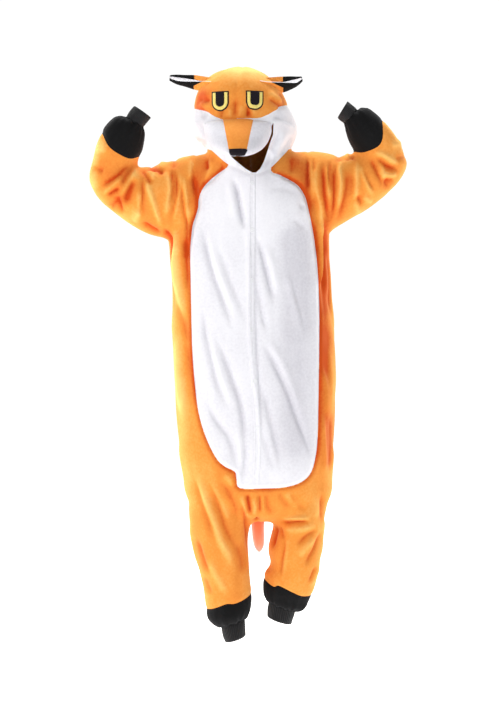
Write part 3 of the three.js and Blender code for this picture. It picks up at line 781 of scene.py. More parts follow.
limbRows = {
    "legLeft": pairedEdges([
        (-160, -895, -28, -895, 90, 95, -4),
        (-180, -980, -14, -975, 103, 108, -5),
        (-178, -1035, -4, -1032, 104, 107, -7),
        (-170, -1090, -9, -1080, 102, 105, -9),
        (-157, -1150, -9, -1137, 99, 102, -10),
        (-138, -1237, -4, -1213, 90, 94, -10),
        (-132, -1278, -1, -1244, 84, 88, -10),
        (-117, -1324, -10, -1304, 66, 68, -10),
        (-88, -1344, -21, -1322, 38, 38, -10),
        (-77, -1381, -19, -1363, 35, 35, -10),
    ]),
    "legRight": pairedEdges([
        (68, -895, 202, -895, 90, 95, 4),
        (62, -975, 215, -980, 103, 108, 5),
        (64, -1032, 207, -1035, 104, 107, 7),
        (47, -1128, 198, -1138, 100, 103, 12),
        (54, -1157, 194, -1172, 96, 99, 14),
        (37, -1190, 184, -1214, 90, 94, 16),
        (32, -1222, 175, -1242, 84, 88, 17),
        (34, -1250, 163, -1268, 70, 72, 18),
        (41, -1267, 145, -1296, 54, 56, 18),
        (48, -1272, 124, -1299, 38, 38, 18),
        (45, -1314, 113, -1336, 35, 35, 18),
    ]),
    "sleeveLeft": pairedEdges([
        (-108, 6, -188, -230, 80, 80, 0),
        (-150, 7, -241, -231, 95, 95, 0),
        (-218, -6, -309, -211, 97, 97, 0),
        (-256, -19, -344, -191, 93, 93, -3),
        (-290, -25, -378, -168, 88, 88, -6),
        (-321, -30, -436, -115, 78, 78, -14),
        (-324, -18, -458, -70, 70, 70, -24),
        (-312, 3, -447, -6, 65, 65, -38),
        (-303, 32, -425, 56, 60, 60, -50),
        (-300, 60, -405, 88, 55, 55, -56),
        (-302, 73, -374, 109, 46, 46, -60),
        (-305, 79, -351, 107, 34, 34, -62),
        (-284, 104, -329, 135, 31, 31, -66),
    ]),
    "sleeveRight": pairedEdges([
        (111, 10, 188, -222, 80, 80, 0),
        (165, 18, 221, -210, 95, 95, 0),
        (220, 9, 277, -178, 97, 97, 0),
        (246, 4, 318, -154, 92, 92, -4),
        (270, 5, 357, -126, 87, 87, -8),
        (284, 9, 427, -52, 76, 76, -18),
        (285, 16, 437, -24, 71, 71, -26),
        (278, 28, 427, 8, 66, 66, -36),
        (270, 45, 408, 46, 62, 62, -46),
        (263, 66, 380, 82, 57, 57, -54),
        (260, 80, 349, 113, 48, 48, -59),
        (258, 86, 318, 133, 40, 40, -61),
        (256, 90, 291, 128, 34, 34, -62),
        (240, 105, 267, 148, 31, 31, -66),
    ]),
}


# ---- The suit and hood: seams ----
seams = {
    "neckFront": [
        (-150, 27), (-117, 14), (-106, 6), (-70, -26), (-33, -44), (1, -56), (39, -46), (61, -30),
        (96, 8), (105, 17), (148, 31)],
    "neckBack": [
        (-150, 27), (-117, 14), (-106, 6), (-63, 9), (-6, 11), (51, 9), (96, 8), (105, 17), (148, 31)],
    "armLeft": [
        (-148, 34), (-162, -13), (-166, -56), (-162, -98), (-163, -135), (-184, -187), (-214, -219),
        (-262, -251)],
    "armRight": [
        (160, 40), (159, -13), (167, -59), (171, -98), (174, -143), (184, -181), (208, -208), (251, -232)],
    "wristBandLeft": [(-430, 76), (-415, 54), (-398, 22), (-369, 0), (-337, -11), (-308, 5), (-296, 18)],
    "wristBandRight": [
        (246, 74), (258, 44), (274, 22), (289, 11), (313, 7), (349, 21), (362, 45), (363, 92),
        (372, 118)],
    "wristCuffLeft": [(-372, 124), (-352, 110), (-305, 80), (-288, 69)],
    "wristCuffRight": [(308, 147), (292, 130), (256, 91), (242, 76)],
    "ankleBandLeft": [
        (-148, -1290), (-129, -1283), (-104, -1273), (-73, -1259), (-52, -1259), (-30, -1253),
        (-4, -1241), (11, -1233)],
    "ankleBandRight": [
        (20, -1192), (36, -1203), (61, -1217), (76, -1212), (112, -1229), (143, -1245), (173, -1250),
        (188, -1253)],
    "ankleCuffLeft": [(-108, -1345), (-90, -1338), (-21, -1315), (0, -1308)],
    "ankleCuffRight": [(23, -1261), (44, -1271), (126, -1301), (146, -1308)],
    "centreFront": [
        (2, 23), (1, -56), (0, -266), (-2, -487), (8, -639), (16, -791), (11, -922), (19, -943),
        (17, -1010), (17, -1060)],
    "centreBack": [(-3, 51), (-3, -262), (0, -690), (6, -918), (17, -1017), (17, -1060)],
    "side": [(0, 60), (0, -1330)],
    "hoodCrown": [(-66, -320), (22, 320)],
    "cheekLeft": [
        (-200, 86), (-146, 87), (-116, 114), (-80, 125), (-15, 135), (6, 130), (20, 98), (24, 38), (24, -60)],
    "cheekRight": [
        (-200, 92), (-150, 93), (-137, 102), (-125, 114), (-112, 122), (-95, 131), (-60, 139), (-15, 142),
        (6, 136), (20, 98), (24, 38), (24, -60)],
    "belly": [
        (-67, 10), (-66, -31), (-89, -50), (-117, -72), (-137, -95), (-148, -122), (-150, -147),
        (-156, -169), (-165, -196), (-170, -238), (-172, -280), (-170, -400), (-167, -535), (-160, -634),
        (-149, -718), (-129, -785), (-101, -842), (-77, -866), (-48, -881), (-43, -903), (-34, -927),
        (30, -928), (80, -926), (119, -919), (147, -906), (165, -885), (176, -850), (183, -790),
        (186, -640), (188, -460), (186, -370), (180, -287), (172, -226), (163, -180), (158, -158),
        (151, -127), (142, -106), (127, -86), (105, -72), (77, -58), (52, -45), (52, 10)],
}
seamViews = {"side": "side", "cheekLeft": "side", "cheekRight": "side", "hoodCrown": "top"}
limbCuts = [name for name in seams if name.startswith(("arm", "wrist", "ankle"))]


def smoothSeam(name):
    return smoothLoop(seams[name]) if name == "belly" else smoothLine(seams[name], 4)


def closedBelly():  # with its first point once more at the end
    line = smoothSeam("belly")
    return np.vstack([line, line[:1]])


faceOpening = [
    (-96, 30), (30, 34), (46, 60), (59, 84), (58, 52), (49, 27), (41, 2), (32, -23), (22, -42),
    (11, -52), (0, -52), (-17, -42), (-44, -20), (-72, 4)]


# ---- The folds ----
# Each is how wide it spreads, its height (a trough is negative), how far its crest leans to one
# side, and then the points of its line, seen from the front.
frontFolds = {
    "armLeft": [
        (6, -6, 0, -430, -96, -408, -80, -376, -60, -354, -40, -330, -20),
        (7, 5, 0, -420, -112, -400, -96, -376, -76, -354, -56),
        (6, -6, 0, -410, -116, -382, -100, -364, -92),
        (7, -5, 0, -362, -88, -354, -64, -342, -48, -330, -28),
        (8, 6, 0.2, -326, -28, -330, -56, -344, -80, -362, -108, -364, -120),
        (6, -6, 0, -376, -108, -370, -136, -366, -152, -360, -164),
        (10, -9, 0.3, -324, -56, -336, -80, -348, -112, -356, -144),
        (7, 5.5, 0, -312, -96, -312, -140, -314, -184),
        (7, -6.5, 0, -310, -48, -304, -76, -304, -112, -308, -144, -308, -184),
        (8, -7, 0, -316, -32, -304, -44, -290, -64, -280, -88),
        (7, 6.5, 0.2, -304, -60, -288, -96, -272, -140, -260, -176, -248, -208),
        (7, 5, 0, -296, -44, -280, -52, -272, -72),
        (9, -8, 0, -292, -36, -270, -36, -256, -44, -244, -60),
        (7, 5.5, 0, -248, -36, -232, -72, -230, -108, -236, -144, -242, -184),
        (5.5, -5.5, 0, -226, -24, -224, -52, -220, -96, -224, -120, -232, -148),
        (5.5, -5.5, 0, -220, -24, -212, -52, -208, -96, -212, -128, -220, -160, -228, -196),
        (6, 4.5, 0, -214, -28, -202, -60, -200, -96, -212, -152, -220, -192),
        (6, -5.5, 0, -204, -28, -196, -56, -196, -96, -192, -128, -188, -160, -184, -200, -188, -284),
        (7, 5.5, 0, -196, -44, -188, -88, -184, -128, -178, -164, -176, -200),
        (7, 5.5, 0, -168, -8, -170, -40, -174, -72),
        (7, -8, 0.3, -160, -20, -164, -52, -160, -80, -156, -112, -152, -144, -164, -184, -170, -220,
         -172, -284),
        (6, -5.5, 0, -128, -8, -124, -32, -126, -48),
        (7, 5, 0, -124, -8, -114, -28, -120, -56, -132, -80),
        (7, -6.5, 0, -96, -12, -84, -28, -88, -44, -104, -64, -130, -84, -144, -96),
        (7, -9, 0, -248, -200, -240, -216, -234, -236, -228, -284),
        (7, -6, 0, -312, -184, -280, -204, -252, -220),
        (9, 4, 0, -216, -200, -206, -248, -204, -288),
    ],
    "armRight": [
        (7, -7, 0, 62, -44, 84, -60, 110, -72, 134, -88, 150, -112, 158, -144, 160, -168),
        (8, -4, 0, 108, -4, 112, -28, 108, -56),
        (5.5, -8, 0.2, 154, 4, 156, -32, 156, -72, 158, -104),
        (7, 5.5, 0, 162, -4, 164, -52, 168, -84, 172, -136),
        (6, -4, 0, 172, -4, 172, -28, 172, -52),
        (6, 5.5, 0, 184, -8, 178, -52, 180, -96, 192, -144, 192, -192, 194, -284),
        (8, -8.5, 0.3, 196, -8, 196, -40, 198, -80, 200, -116, 208, -160, 218, -200),
        (6, 5, 0, 212, -16, 208, -52, 212, -96, 218, -136),
        (6, -5, 0, 220, -8, 216, -32, 214, -64, 220, -104),
        (7, -7, 0.2, 244, -8, 234, -32, 228, -60, 228, -96, 228, -136, 224, -168, 220, -200),
        (7, 6, 0, 258, -8, 244, -40, 248, -80, 242, -128, 232, -168),
        (8, -7, 0, 288, 0, 274, -8, 262, -20),
        (9, -5.5, 0, 260, -28, 264, -60, 260, -104, 252, -144, 244, -176, 234, -196),
        (8, -3, 0, 268, -48, 280, -80, 276, -120),
        (7, 6, 0, 296, -8, 292, -52, 290, -96, 288, -148),
        (6, 5.5, 0, 300, -24, 312, -60, 326, -92, 342, -112),
        (5.5, -5, 0, 304, -32, 320, -68, 332, -88, 346, -104),
        (8, -6, 0, 292, -108, 300, -128, 312, -140),
        (7, 4.5, 0, 310, -112, 324, -124, 340, -128),
        (6, -6, 0, 324, -4, 336, -28, 348, -52, 360, -72, 360, -96),
        (6, 5.5, 0, 338, -8, 360, -32, 364, -60, 364, -92),
        (9, -8, 0, 340, -4, 360, -24, 384, -36, 416, -44),
        (7, 5.5, 0, 334, 4, 360, 0, 388, -16, 412, -28),
        (7, 5, 0, 362, -48, 384, -56, 408, -48),
        (8, -5, 0, 372, -64, 384, -72, 396, -64),
        (6, -5.5, 0, 168, -176, 180, -236, 184, -288),
        (8, -7, 0, 202, -200, 204, -248, 206, -288),
    ],
    "sideLeft": [
        (8, -7, 0, -235, -225, -230, -260, -225, -305),
        (13, 6, 0, -215, -220, -215, -285, -205, -350, -195, -400),
        (11, -7, 0.3, -195, -210, -185, -295, -180, -400),
        (7, 4, 0, -175, -230, -175, -305, -175, -400),
        (12, 6, 0, -210, -230, -210, -300, -205, -370, -190, -430, -175, -475),
        (11, -6, 0, -185, -230, -180, -295),
        (14, -4, 0, -215, -400, -195, -460, -180, -530),
        (12, 6, 0, -215, -485, -210, -545, -200, -655, -185, -740),
        (16, -3, 0, -195, -495, -170, -600, -150, -705),
    ],
    "sideRight": [
        (12, -8, 0, 205, -185, 210, -265, 205, -400),
        (6, 5, 0, 190, -155, 195, -265, 190, -380),
        (8, 5, 0, 220, -225, 215, -305, 215, -400),
        (16, -6, 0, 205, -230, 205, -350, 205, -460),
        (7, 5, 0, 195, -230, 195, -315, 190, -375),
        (16, -4, 0, 215, -460, 215, -565, 215, -655),
        (9, 5, 0, 195, -585, 205, -655, 205, -740),
        (9, 5, 0, 195, -705, 200, -790, 210, -905),
        (12, -5, 0, 220, -705, 225, -810, 215, -915),
    ],
    "bellyLeft": [
        (8, -6.5, 0.3, -144, -168, -132, -248, -112, -328, -88, -392, -68, -448, -46, -500),
        (11, 3, 0, -124, -192, -102, -296, -72, -376, -44, -448),
        (7, -9, 0.3, -52, -60, -40, -116, -32, -164, -18, -216),
        (10, 3, 0, -68, -60, -56, -120, -44, -184),
        (9, -4, 0.2, -96, -248, -64, -344, -36, -416, -14, -476),
        (8, -6, 0.3, -140, -404, -132, -496, -116, -568, -96, -644, -64, -708),
        (8, -7.5, 0.35, -104, -488, -82, -556, -58, -624, -36, -688, -26, -752, -20, -840),
        (9, 3, 0, -118, -500, -96, -576, -72, -648, -52, -708),
        (9, -5, 0.3, -134, -668, -104, -736, -68, -784, -52, -832, -44, -880),
        (7, 3.5, 0, -38, -752, -32, -812, -28, -888),
        (7, -5, 0, -18, -792, -20, -848, -28, -912),
    ],
    "placket": [
        (5.5, 3.8, 0, -12, -80, -12, -210, -8, -350, -6, -495, 4, -605, 16, -710, 24, -835, 12, -910),
        (5.5, -3.8, 0, 10, -80, 10, -210, 10, -350, 12, -495, 16, -605, 24, -710, 28, -835),
    ],
    "bellyRight": [
        (8, -7.5, 0.35, 12, -216, 28, -284, 40, -332, 52, -384, 60, -424),
        (11, 3.5, 0, 36, -248, 58, -320, 72, -392),
        (7, -5, 0.2, 12, -344, 20, -404, 32, -464, 44, -504),
        (8, -8, 0.35, 24, -512, 48, -556, 72, -604, 98, -660, 120, -720, 148, -792, 168, -856),
        (12, 3.5, 0, 40, -500, 76, -568, 112, -652, 140, -736),
        (9, -5.5, 0.3, 16, -620, 38, -692, 56, -764, 72, -832, 80, -892),
        (11, 3.5, 0, 92, -320, 116, -404, 140, -496),
        (9, -3, 0, 108, -344, 130, -424, 150, -500),
        (9, -3.5, 0, 28, -764, 44, -828, 68, -884),
        (7, -3, 0, 132, -148, 148, -140),
        (8, -2.5, 0, 112, -176, 140, -200, 154, -204),
        (12, -2, 0, 44, -100, 92, -96, 132, -116),
    ],
    "legLeft": [
        (10, 6.5, 0, -156, -880, -140, -932, -124, -976, -108, -1020, -90, -1072, -66, -1120, -48,
         -1172),
        (11, -4, 0, -168, -888, -148, -952, -132, -996, -108, -1052, -90, -1092),
        (9, -4.5, 0, -132, -888, -108, -940, -90, -988, -76, -1036, -56, -1076, -38, -1120),
        (9, 4, 0, -118, -896, -104, -932, -80, -984, -60, -1032),
        (9, -4, 0, -92, -900, -70, -936, -52, -976, -36, -1032),
        (8, 4, 0, -78, -884, -62, -904, -52, -924),
        (11, -5, 0, -160, -1068, -144, -1116, -132, -1148, -116, -1180),
        (9, 4, 0, -124, -1124, -104, -1168, -84, -1204, -68, -1232),
        (9, -4, 0, -136, -1180, -122, -1216, -116, -1240),
        (9, -4, 0, -44, -1080, -28, -1132, -24, -1180),
        (6, -6, 0, -34, -956, -24, -992, -16, -1036, -12, -1092, -12, -1144),
    ],
    "crotch": [
        (6, 5.5, 0.2, -32, -940, -20, -984, -10, -1024),
        (6, -8.5, 0.2, -16, -936, -12, -964, -8, -992, 0, -1012),
        (6, 5, 0, 2, -952, 8, -984, 0, -1008),
        (6, -9, 0, 8, -1016, 12, -1024, 16, -1032),
        (4.5, -5, 0, 20, -940, 22, -976, 22, -1008),
        (6, 3, 0, 28, -940, 30, -976, 32, -1008),
        (8, -3, 0, 36, -936, 42, -976, 60, -1016),
        (9, -3, 0, 74, -932, 88, -964, 112, -984),
        (9, -3, 0, 104, -936, 124, -972, 156, -996),
        (9, 3, 0, 92, -932, 112, -964, 140, -988),
        (6.5, 6, 0, 78, -1020, 120, -1016, 168, -1016),
        (6.5, -7, 0, 74, -1032, 102, -1028, 140, -1024, 168, -1028),
        (8, 4, 0, 84, -1048, 106, -1048, 148, -1044, 180, -1036),
    ],
    "legRight": [
        (6, -7, 0, 72, -1036, 68, -1056, 60, -1092, 56, -1116),
        (6, -4, 0, 78, -1040, 84, -1064, 88, -1080),
        (5, -4.5, 0, 92, -1064, 92, -1096, 84, -1144, 80, -1192),
        (6, 3, 0, 98, -1056, 98, -1096, 92, -1144, 88, -1192),
        (7, -5, 0, 124, -1096, 152, -1068, 188, -1048),
        (8, 4, 0, 130, -1128, 152, -1096, 178, -1072),
        (8, -5.5, 0, 198, -1052, 180, -1096, 160, -1132, 150, -1160),
        (9, -5, 0, 198, -944, 196, -996, 198, -1040),
        (8, 3, 0, 180, -952, 182, -992, 180, -1020),
        (6, 4.5, 0, 192, -1160, 178, -1192, 164, -1220),
        (6, -4.5, 0, 182, -1156, 168, -1192, 160, -1208),
        (7, -5, 0, 48, -1160, 44, -1172, 40, -1180),
    ],
    "forehead": [
        (8, -4, 0, -43, 149, -47, 117, -43, 94),
        (7, 3, 0, -30, 133, -32, 109, -34, 94),
        (6, 3, 0, -58, 121, -61, 94),
        (7, -4, 0, -79, 121, -85, 105, -87, 92),
        (7, -4, 0, -7, 117, -5, 105, -5, 93),
        (5.5, -7, 0.3, -9, 134, -11, 112, -12, 92),
        (8, 4, 0, 4, 136, 2, 114, 1, 94),
        (9, -5, 0.3, 42, 155, 70, 138, 92, 125),
        (9, 5, 0, 40, 169, 66, 155, 91, 143),
        (8, -4, 0, -153, 155, -132, 148, -109, 144),
        (8, 4, 0, -150, 141, -130, 133, -107, 125),
        (7, -4, 0, 74, 179, 84, 159, 94, 135),
    ],
    "cheeks": [
        (11, -6, 0, 51, 108, 75, 96, 103, 88, 123, 78),
        (8, 5, 0, 58, 79, 83, 89, 119, 73),
        (10, -5, 0, 80, 75, 67, 35, 47, -13, 30, -46),
        (11, 4, 0, 95, 68, 75, 19, 55, -21),
        (10, -4, 0, 120, 61, 95, 24, 67, -12),
        (10, -4, 0, -161, 93, -140, 100, -116, 113),
        (8, 5, 0, -131, 105, -148, 93, -165, 76),
        (8, -5, 0, -134, 88, -138, 60, -118, 27),
        (7, -6, 0.4, -166, 48, -144, 31, -118, 19),
    ],
}
backFolds = {
    "shoulders": [
        (13, -7, 0.3, -150, 5, -160, -70, -150, -160, -120, -260),
        (9, 6, 0, -175, -10, -185, -90, -180, -190),
        (9, -7, 0, -200, -30, -205, -110, -195, -200),
        (9, 6, 0, -225, -40, -220, -120, -225, -205),
        (13, -7, -0.3, 155, 5, 160, -80, 150, -180, 115, -290),
        (9, 6, 0, 180, -10, 190, -100, 180, -200),
        (9, -8, 0, 205, -20, 205, -100, 210, -190),
        (10, 5, 0, 230, -30, 225, -110, 222, -185),
        (22, -5, 0.3, -60, -20, -35, -75, 5, -95, 50, -75, 75, -20),
        (20, 4, 0, -70, -70, -30, -130, 15, -145, 60, -125, 95, -60),
    ],
    "sleeves": [
        (11, 5, 0, -255, -30, -250, -110, -235, -190),
        (12, -7, 0, -285, -40, -275, -115, -255, -200),
        (9, 7, 0.3, -310, -40, -300, -110, -295, -185),
        (13, -7, 0, -330, -45, -340, -100, -350, -150),
        (10, 6, 0, -335, -25, -380, -60, -425, -85),
        (12, -5, 0, -340, 0, -385, -20, -440, -30),
        (10, 6, 0, 260, -15, 255, -80, 240, -160),
        (12, -7, 0, 285, -5, 285, -80, 275, -155),
        (9, 7, -0.3, 305, 0, 320, -55, 340, -110),
        (12, -7, 0, 320, 10, 360, -25, 400, -65),
        (10, 5, 0, 310, 35, 365, 15, 425, -5),
    ],
    "back": [
        (24, -5, 0.2, -70, -150, -80, -280, -60, -420, -75, -560),
        (26, -5, 0, 60, -170, 80, -300, 65, -440),
        (18, 5, 0, -140, -260, -130, -400, -150, -560, -125, -700),
        (18, 5, 0, 145, -250, 130, -400, 150, -540, 135, -690),
        (15, -6, 0, -195, -280, -185, -420, -200, -590),
        (15, -6, 0, 195, -260, 185, -430, 205, -610),
        (20, -4, 0.3, -15, -420, -30, -520, -20, -630),
        (15, 5, 0, -120, -610, -95, -690, -60, -740),
        (15, 5, 0, 125, -600, 100, -680, 70, -735),
    ],
    "seat": [
        (17, -7, 0.3, -150, -700, -110, -780, -50, -820),
        (17, -7, -0.3, 155, -690, 115, -780, 65, -825),
        (16, 6, 0, -175, -800, -130, -880, -60, -930),
        (16, 6, 0, 190, -800, 145, -880, 85, -925),
        (14, -7, 0, -120, -860, -70, -940, -30, -1000),
        (14, -7, 0, 140, -870, 95, -945, 55, -1005),
        (12, 5, 0, -60, -800, -35, -880, -20, -960),
        (12, 5, 0, 70, -810, 50, -880, 35, -960),
    ],
    "legs": [
        (14, 7, 0, -170, -930, -150, -1030, -115, -1120, -80, -1200),
        (15, -6, 0, -130, -960, -105, -1060, -70, -1150),
        (13, -5, 0.3, -165, -1060, -130, -1140, -70, -1185),
        (12, 6, 0, -75, -1010, -50, -1090, -35, -1180),
        (12, 5, 0, -140, -1180, -95, -1220, -40, -1225),
        (14, 7, 0, 195, -920, 180, -1020, 150, -1110, 120, -1180),
        (15, -6, 0, 160, -960, 135, -1050, 105, -1130),
        (12, 5, 0, 90, -1010, 75, -1090, 70, -1160),
        (13, -5, 0, 175, -1110, 130, -1150, 75, -1160),
    ],
    "hood": [
        (12, -6, 0.3, -130, 60, -90, 40, -30, 32, 30, 38, 85, 62),
        (13, 5, 0, -120, 95, -70, 72, -20, 65, 40, 75, 90, 100),
        (16, -5, 0, -110, 150, -85, 110, -70, 70),
        (16, -5, 0, 75, 150, 55, 110, 45, 70),
        (18, 3, 0, -60, 200, -50, 150, -55, 95),
        (18, 3, 0, 35, 190, 25, 140, 30, 95),
    ],
}
# The same, seen from each side: the lines run in depth and height.
sideFolds = {
    "left": [
        (17, -6, 0, -60, -240, -20, -330, -35, -450),
        (17, -6, 0, 40, -250, 15, -360, 35, -500),
        (13, 6, 0, -10, -280, 10, -420, -5, -560),
        (15, 5, 0, 70, -420, 55, -560, 75, -700),
        (15, 5, 0, -80, -480, -60, -620, -75, -760),
        (16, -6, 0, 0, -600, 20, -720, -5, -850),
        (14, 6, 0, -50, -780, -20, -880, -30, -990),
        (14, -6, 0, 50, -800, 20, -900, 30, -1010),
        (12, 5, 0, -60, -1010, -30, -1090, -35, -1180),
        (12, -5, 0, 45, -1030, 15, -1110, 25, -1200),
    ],
    "right": [
        (17, -6, 0, -50, -230, -25, -340, -45, -470),
        (17, -6, 0, 50, -240, 25, -350, 45, -480),
        (13, 6, 0, 0, -260, -10, -400, 10, -540),
        (15, 5, 0, 75, -440, 60, -590, 80, -720),
        (15, 5, 0, -75, -500, -65, -640, -85, -780),
        (16, -6, 0, 5, -620, -15, -740, 10, -870),
        (14, 6, 0, -45, -800, -15, -890, -35, -980),
        (14, -6, 0, 55, -820, 30, -920, 40, -1000),
        (12, 5, 0, -55, -1000, -20, -1080, -30, -1160),
        (12, -5, 0, 50, -1020, 20, -1100, 30, -1170),
    ],
}
sleeveFolds = [  # on the upper and lower edges of the sleeves, seen from the front as short bars
    (10, -5, 0, -215, 5, -222, -40),
    (9, 5, 0, -250, 5, -258, -45),
    (10, -5, 0, -285, -5, -285, -50),
    (10, -5, 0, -450, -30, -410, -50),
    (10, 4, 0, -440, 20, -400, 15),
    (10, -5, 0, -400, -150, -370, -120),
    (10, 5, 0, -330, -190, -315, -150),
    (10, -5, 0, 245, 20, 245, -25),
    (8, 5, 0, 270, 15, 272, -30),
    (10, -5, 0, 435, 0, 395, -15),
    (10, 4, 0, 420, 40, 385, 20),
    (10, -5, 0, 385, -95, 360, -60),
    (10, 5, 0, 300, -165, 290, -125),
]


# ---- The suit and hood: one skin ----
skinLook = {
    "voxel": 4.8,
    "frontFold": 1.3,  # how strongly the folds above are pressed in
    "backFold": 1.25,
    "sideFrom": 100,  # the side folds lie further out than this
    "crestPaintedLight": 0.034,  # how much lighter a crest is painted, for each millimetre, as painted light
    # how much darker a trough is painted, for each millimetre, as painted shade
    "troughPaintedShade": 0.052,
    "ringSpacing": 8,
    "around": 160,
    "bodyPower": 1.15,  # at 1 a section is an oval, and it gets squarer above that
    "limbPower": 1.05,
    "evenRounds": 6,
    "softRounds": 36,  # where limbs meet the body
    "broadLump": 1.5,
    "broadSize": (42, 42, 150),
    "fineLump": 0.55,
    "fineSize": (15, 15, 55),
    "hoodCalm": 0.6,  # how much of the broad lumps the hood goes without
    "neckBlend": 10,
    "hoodMiddle": -10,
    "hoodReach": 190,  # sleeves that rise further out than this belong to the suit
    "seamDepth": 2.2,
    "seamWidth": 5.5,
    "hemHeight": 2.0,
    "hemWidth": 5,
    "gather": 2.6,  # how deep the bands are gathered at the cuffs
    "gatherReach": 26,
    "gatherNear": 130,
    "gatherWaves": ((9, 0.5), (14, 0.6), (22, 0.45)),  # how many go round, and their share
}
softPlaces = [  # where the joins are eased: centre and how far it reaches
    ((-215, 0, -235), 75), ((215, 0, -225), 75), ((17, 0, -1045), 75), ((-160, 0, 10), 60),
    ((160, 0, 15), 60), ((-100, 0, 0), 60), ((100, 0, 5), 60),
]
# Painted light and shade on the front, where a side or the crown is lit or in shade: how wide, how much
# lighter it is painted (darker below zero), and the points of the line.
paintedLightAndShade = [
    (15, -0.34, 203, -190, 206, -400, 206, -640, 212, -860),
    (26, -0.22, -120, -20, -150, -60, -160, -130),
    (26, -0.22, 120, -10, 150, -60, 160, -130),
    (40, -0.1, -400, -60, -330, -130, -260, -190),
    (16, 0.25, -445, -80, -440, -20, -420, 30),
    (24, -0.5, -150, 100, -145, 130, -140, 160),
    (30, 0.14, -300, -60, -330, -150, -380, -200),
    (34, 0.35, -40, 235, -20, 244, 0, 235),
    (20, -0.12, 95, 100, 90, 130, 85, 160),
    (24, 0.12, -200, -640, -185, -800, -150, -980),
    (60, 0.1, 20, -100, 60, -260, 100, -420),
    (42, -0.85, 118, -240, 124, -340, 122, -470),
    (60, -0.5, 110, -560, 120, -680, 120, -800),
    (40, 0.1, -60, -60, -50, -120, -40, -180),
    (30, -0.1, -105, -700, -90, -800, -60, -860),
]


def turnedBy(normals, margin, over):  # 1 where the cloth looks that way, eased to 0 where it looks away
    return eased((normals + margin) / over)


def paintedLightAndShadeTones(points, normals):
    flat = inView(points, "front")
    total = np.zeros(len(points))
    for width, change, *line in paintedLightAndShade:
        line = smoothLine(np.reshape(line, (-1, 2)))
        near = nearTo(flat, line, 2 * width) & (normals[:, 1] < 0.1)
        distance, _, _ = distanceTo(flat[near], line)
        total[near] += change * bump(distance, 0, width)
    return total


def seamDips(points, normals, aboveNeck):
    front, back = (turnedBy(way * normals[:, 1], 0.25, 0.4) for way in (-1, 1))
    suit = 1 - aboveNeck
    everywhere = np.ones(len(points))
    (leftX, leftY), (rightX, rightY) = seams["hoodCrown"]
    crown = leftX + (points[:, 1] - leftY) * (rightX - leftX) / (rightY - leftY)
    weights = {name: everywhere for name in limbCuts} | {  # how far each seam shows at each point
        "neckFront": front, "neckBack": back,
        "centreFront": front * suit, "centreBack": back * suit, "belly": front * suit,
        "side": suit * eased(np.abs(normals[:, 0]) * 2),
        "hoodCrown": aboveNeck,
        "cheekLeft": aboveNeck * (points[:, 0] < crown),
        "cheekRight": aboveNeck * (points[:, 0] > crown),
    }
    total = np.zeros(len(points))
    for name, weight in weights.items():
        line = closedBelly() if name == "belly" else smoothSeam(name)
        flat = inView(points, seamViews.get(name, "front"))
        near = nearTo(flat, line, 4 * skinLook["seamWidth"]) & (weight > 0.01)
        if near.any():
            distance, _, _ = distanceTo(flat[near], line)
            dip = bump(distance, 0, skinLook["seamWidth"]) * weight[near]
            total[near] = np.maximum(total[near], dip)
    return -skinLook["seamDepth"] * total


gathers = [  # the line of the cuff's seam, the limb's middle there and the way it runs
    ("wristCuffLeft", (-333, -61, 98), (0.52, -0.1, 0.85)),
    ("wristCuffRight", (287, -61, 113), (-0.6, -0.1, 0.79)),
    ("ankleCuffLeft", (-54, -10, -1333), (0.12, 0, -0.99)),
    ("ankleCuffRight", (84, 18, -1281), (-0.12, 0, -0.99)),
]
bellyLook = {  # the cloth swells on both sides of the seam, with a painted highlight inside it and painted shade outside
    "reach": 40,
    "swells": (1.6, 1.0),  # inside and outside
    "swellAt": 7,
    "spread": 5,
    "light": 0.3,
    "paintedLightAt": 4,
    "dark": 0.34,
    "paintedShadeSpread": 9,
}


def bellyEdge(points, normals):
    look = bellyLook
    line = closedBelly()
    flat = inView(points, "front")
    near = nearTo(flat, line, look["reach"]) & (normals[:, 1] < 0.1)
    distance, side, _ = distanceTo(flat[near], line)
    swell, tone = np.zeros(len(points)), np.zeros(len(points))
    inside = side > 0
    swell[near] = np.where(inside, *look["swells"]) * bump(distance, look["swellAt"], look["spread"])
    # a painted highlight inside the belly seam and painted shade outside it
    light = look["light"] * bump(distance, look["paintedLightAt"], look["spread"])
    tone[near] = np.where(inside, light, -look["dark"] * bump(distance, 0, look["paintedShadeSpread"]))
    return swell, tone


def gatherHeights(points):
    total = np.zeros(len(points))
    for index, (line, middle, way) in enumerate(gathers):
        near = np.linalg.norm(points - middle, axis=1) < skinLook["gatherNear"]
        away = points[near] - middle
        way = np.array(way) / np.linalg.norm(way)
        one = np.cross(way, (0, 1, 0))
        one /= np.linalg.norm(one)
        other = np.cross(way, one)
        angle = np.arctan2(away @ other, away @ one)
        distance, _, _ = distanceTo(inView(points[near], "front"), np.array(seams[line], float))
        waves = sum(size * np.cos(count * angle + index + 2 * count)
                    for count, size in skinLook["gatherWaves"])
        total[near] += waves * np.exp(-distance / skinLook["gatherReach"])
    return skinLook["gather"] * total


def hemRidge(points, normals, aboveNeck):
    line = np.array(faceOpening + faceOpening[:1], float)
    flat = inView(points, "front")
    width = skinLook["hemWidth"]
    near = nearTo(flat, line, 6 * width) & (normals[:, 1] < 0.2)
    distance, _, _ = distanceTo(flat[near], line)
    ridge = np.zeros(len(points))
    ridge[near] = skinLook["hemHeight"] * bump(distance, width, width) * aboveNeck[near]
    return ridge


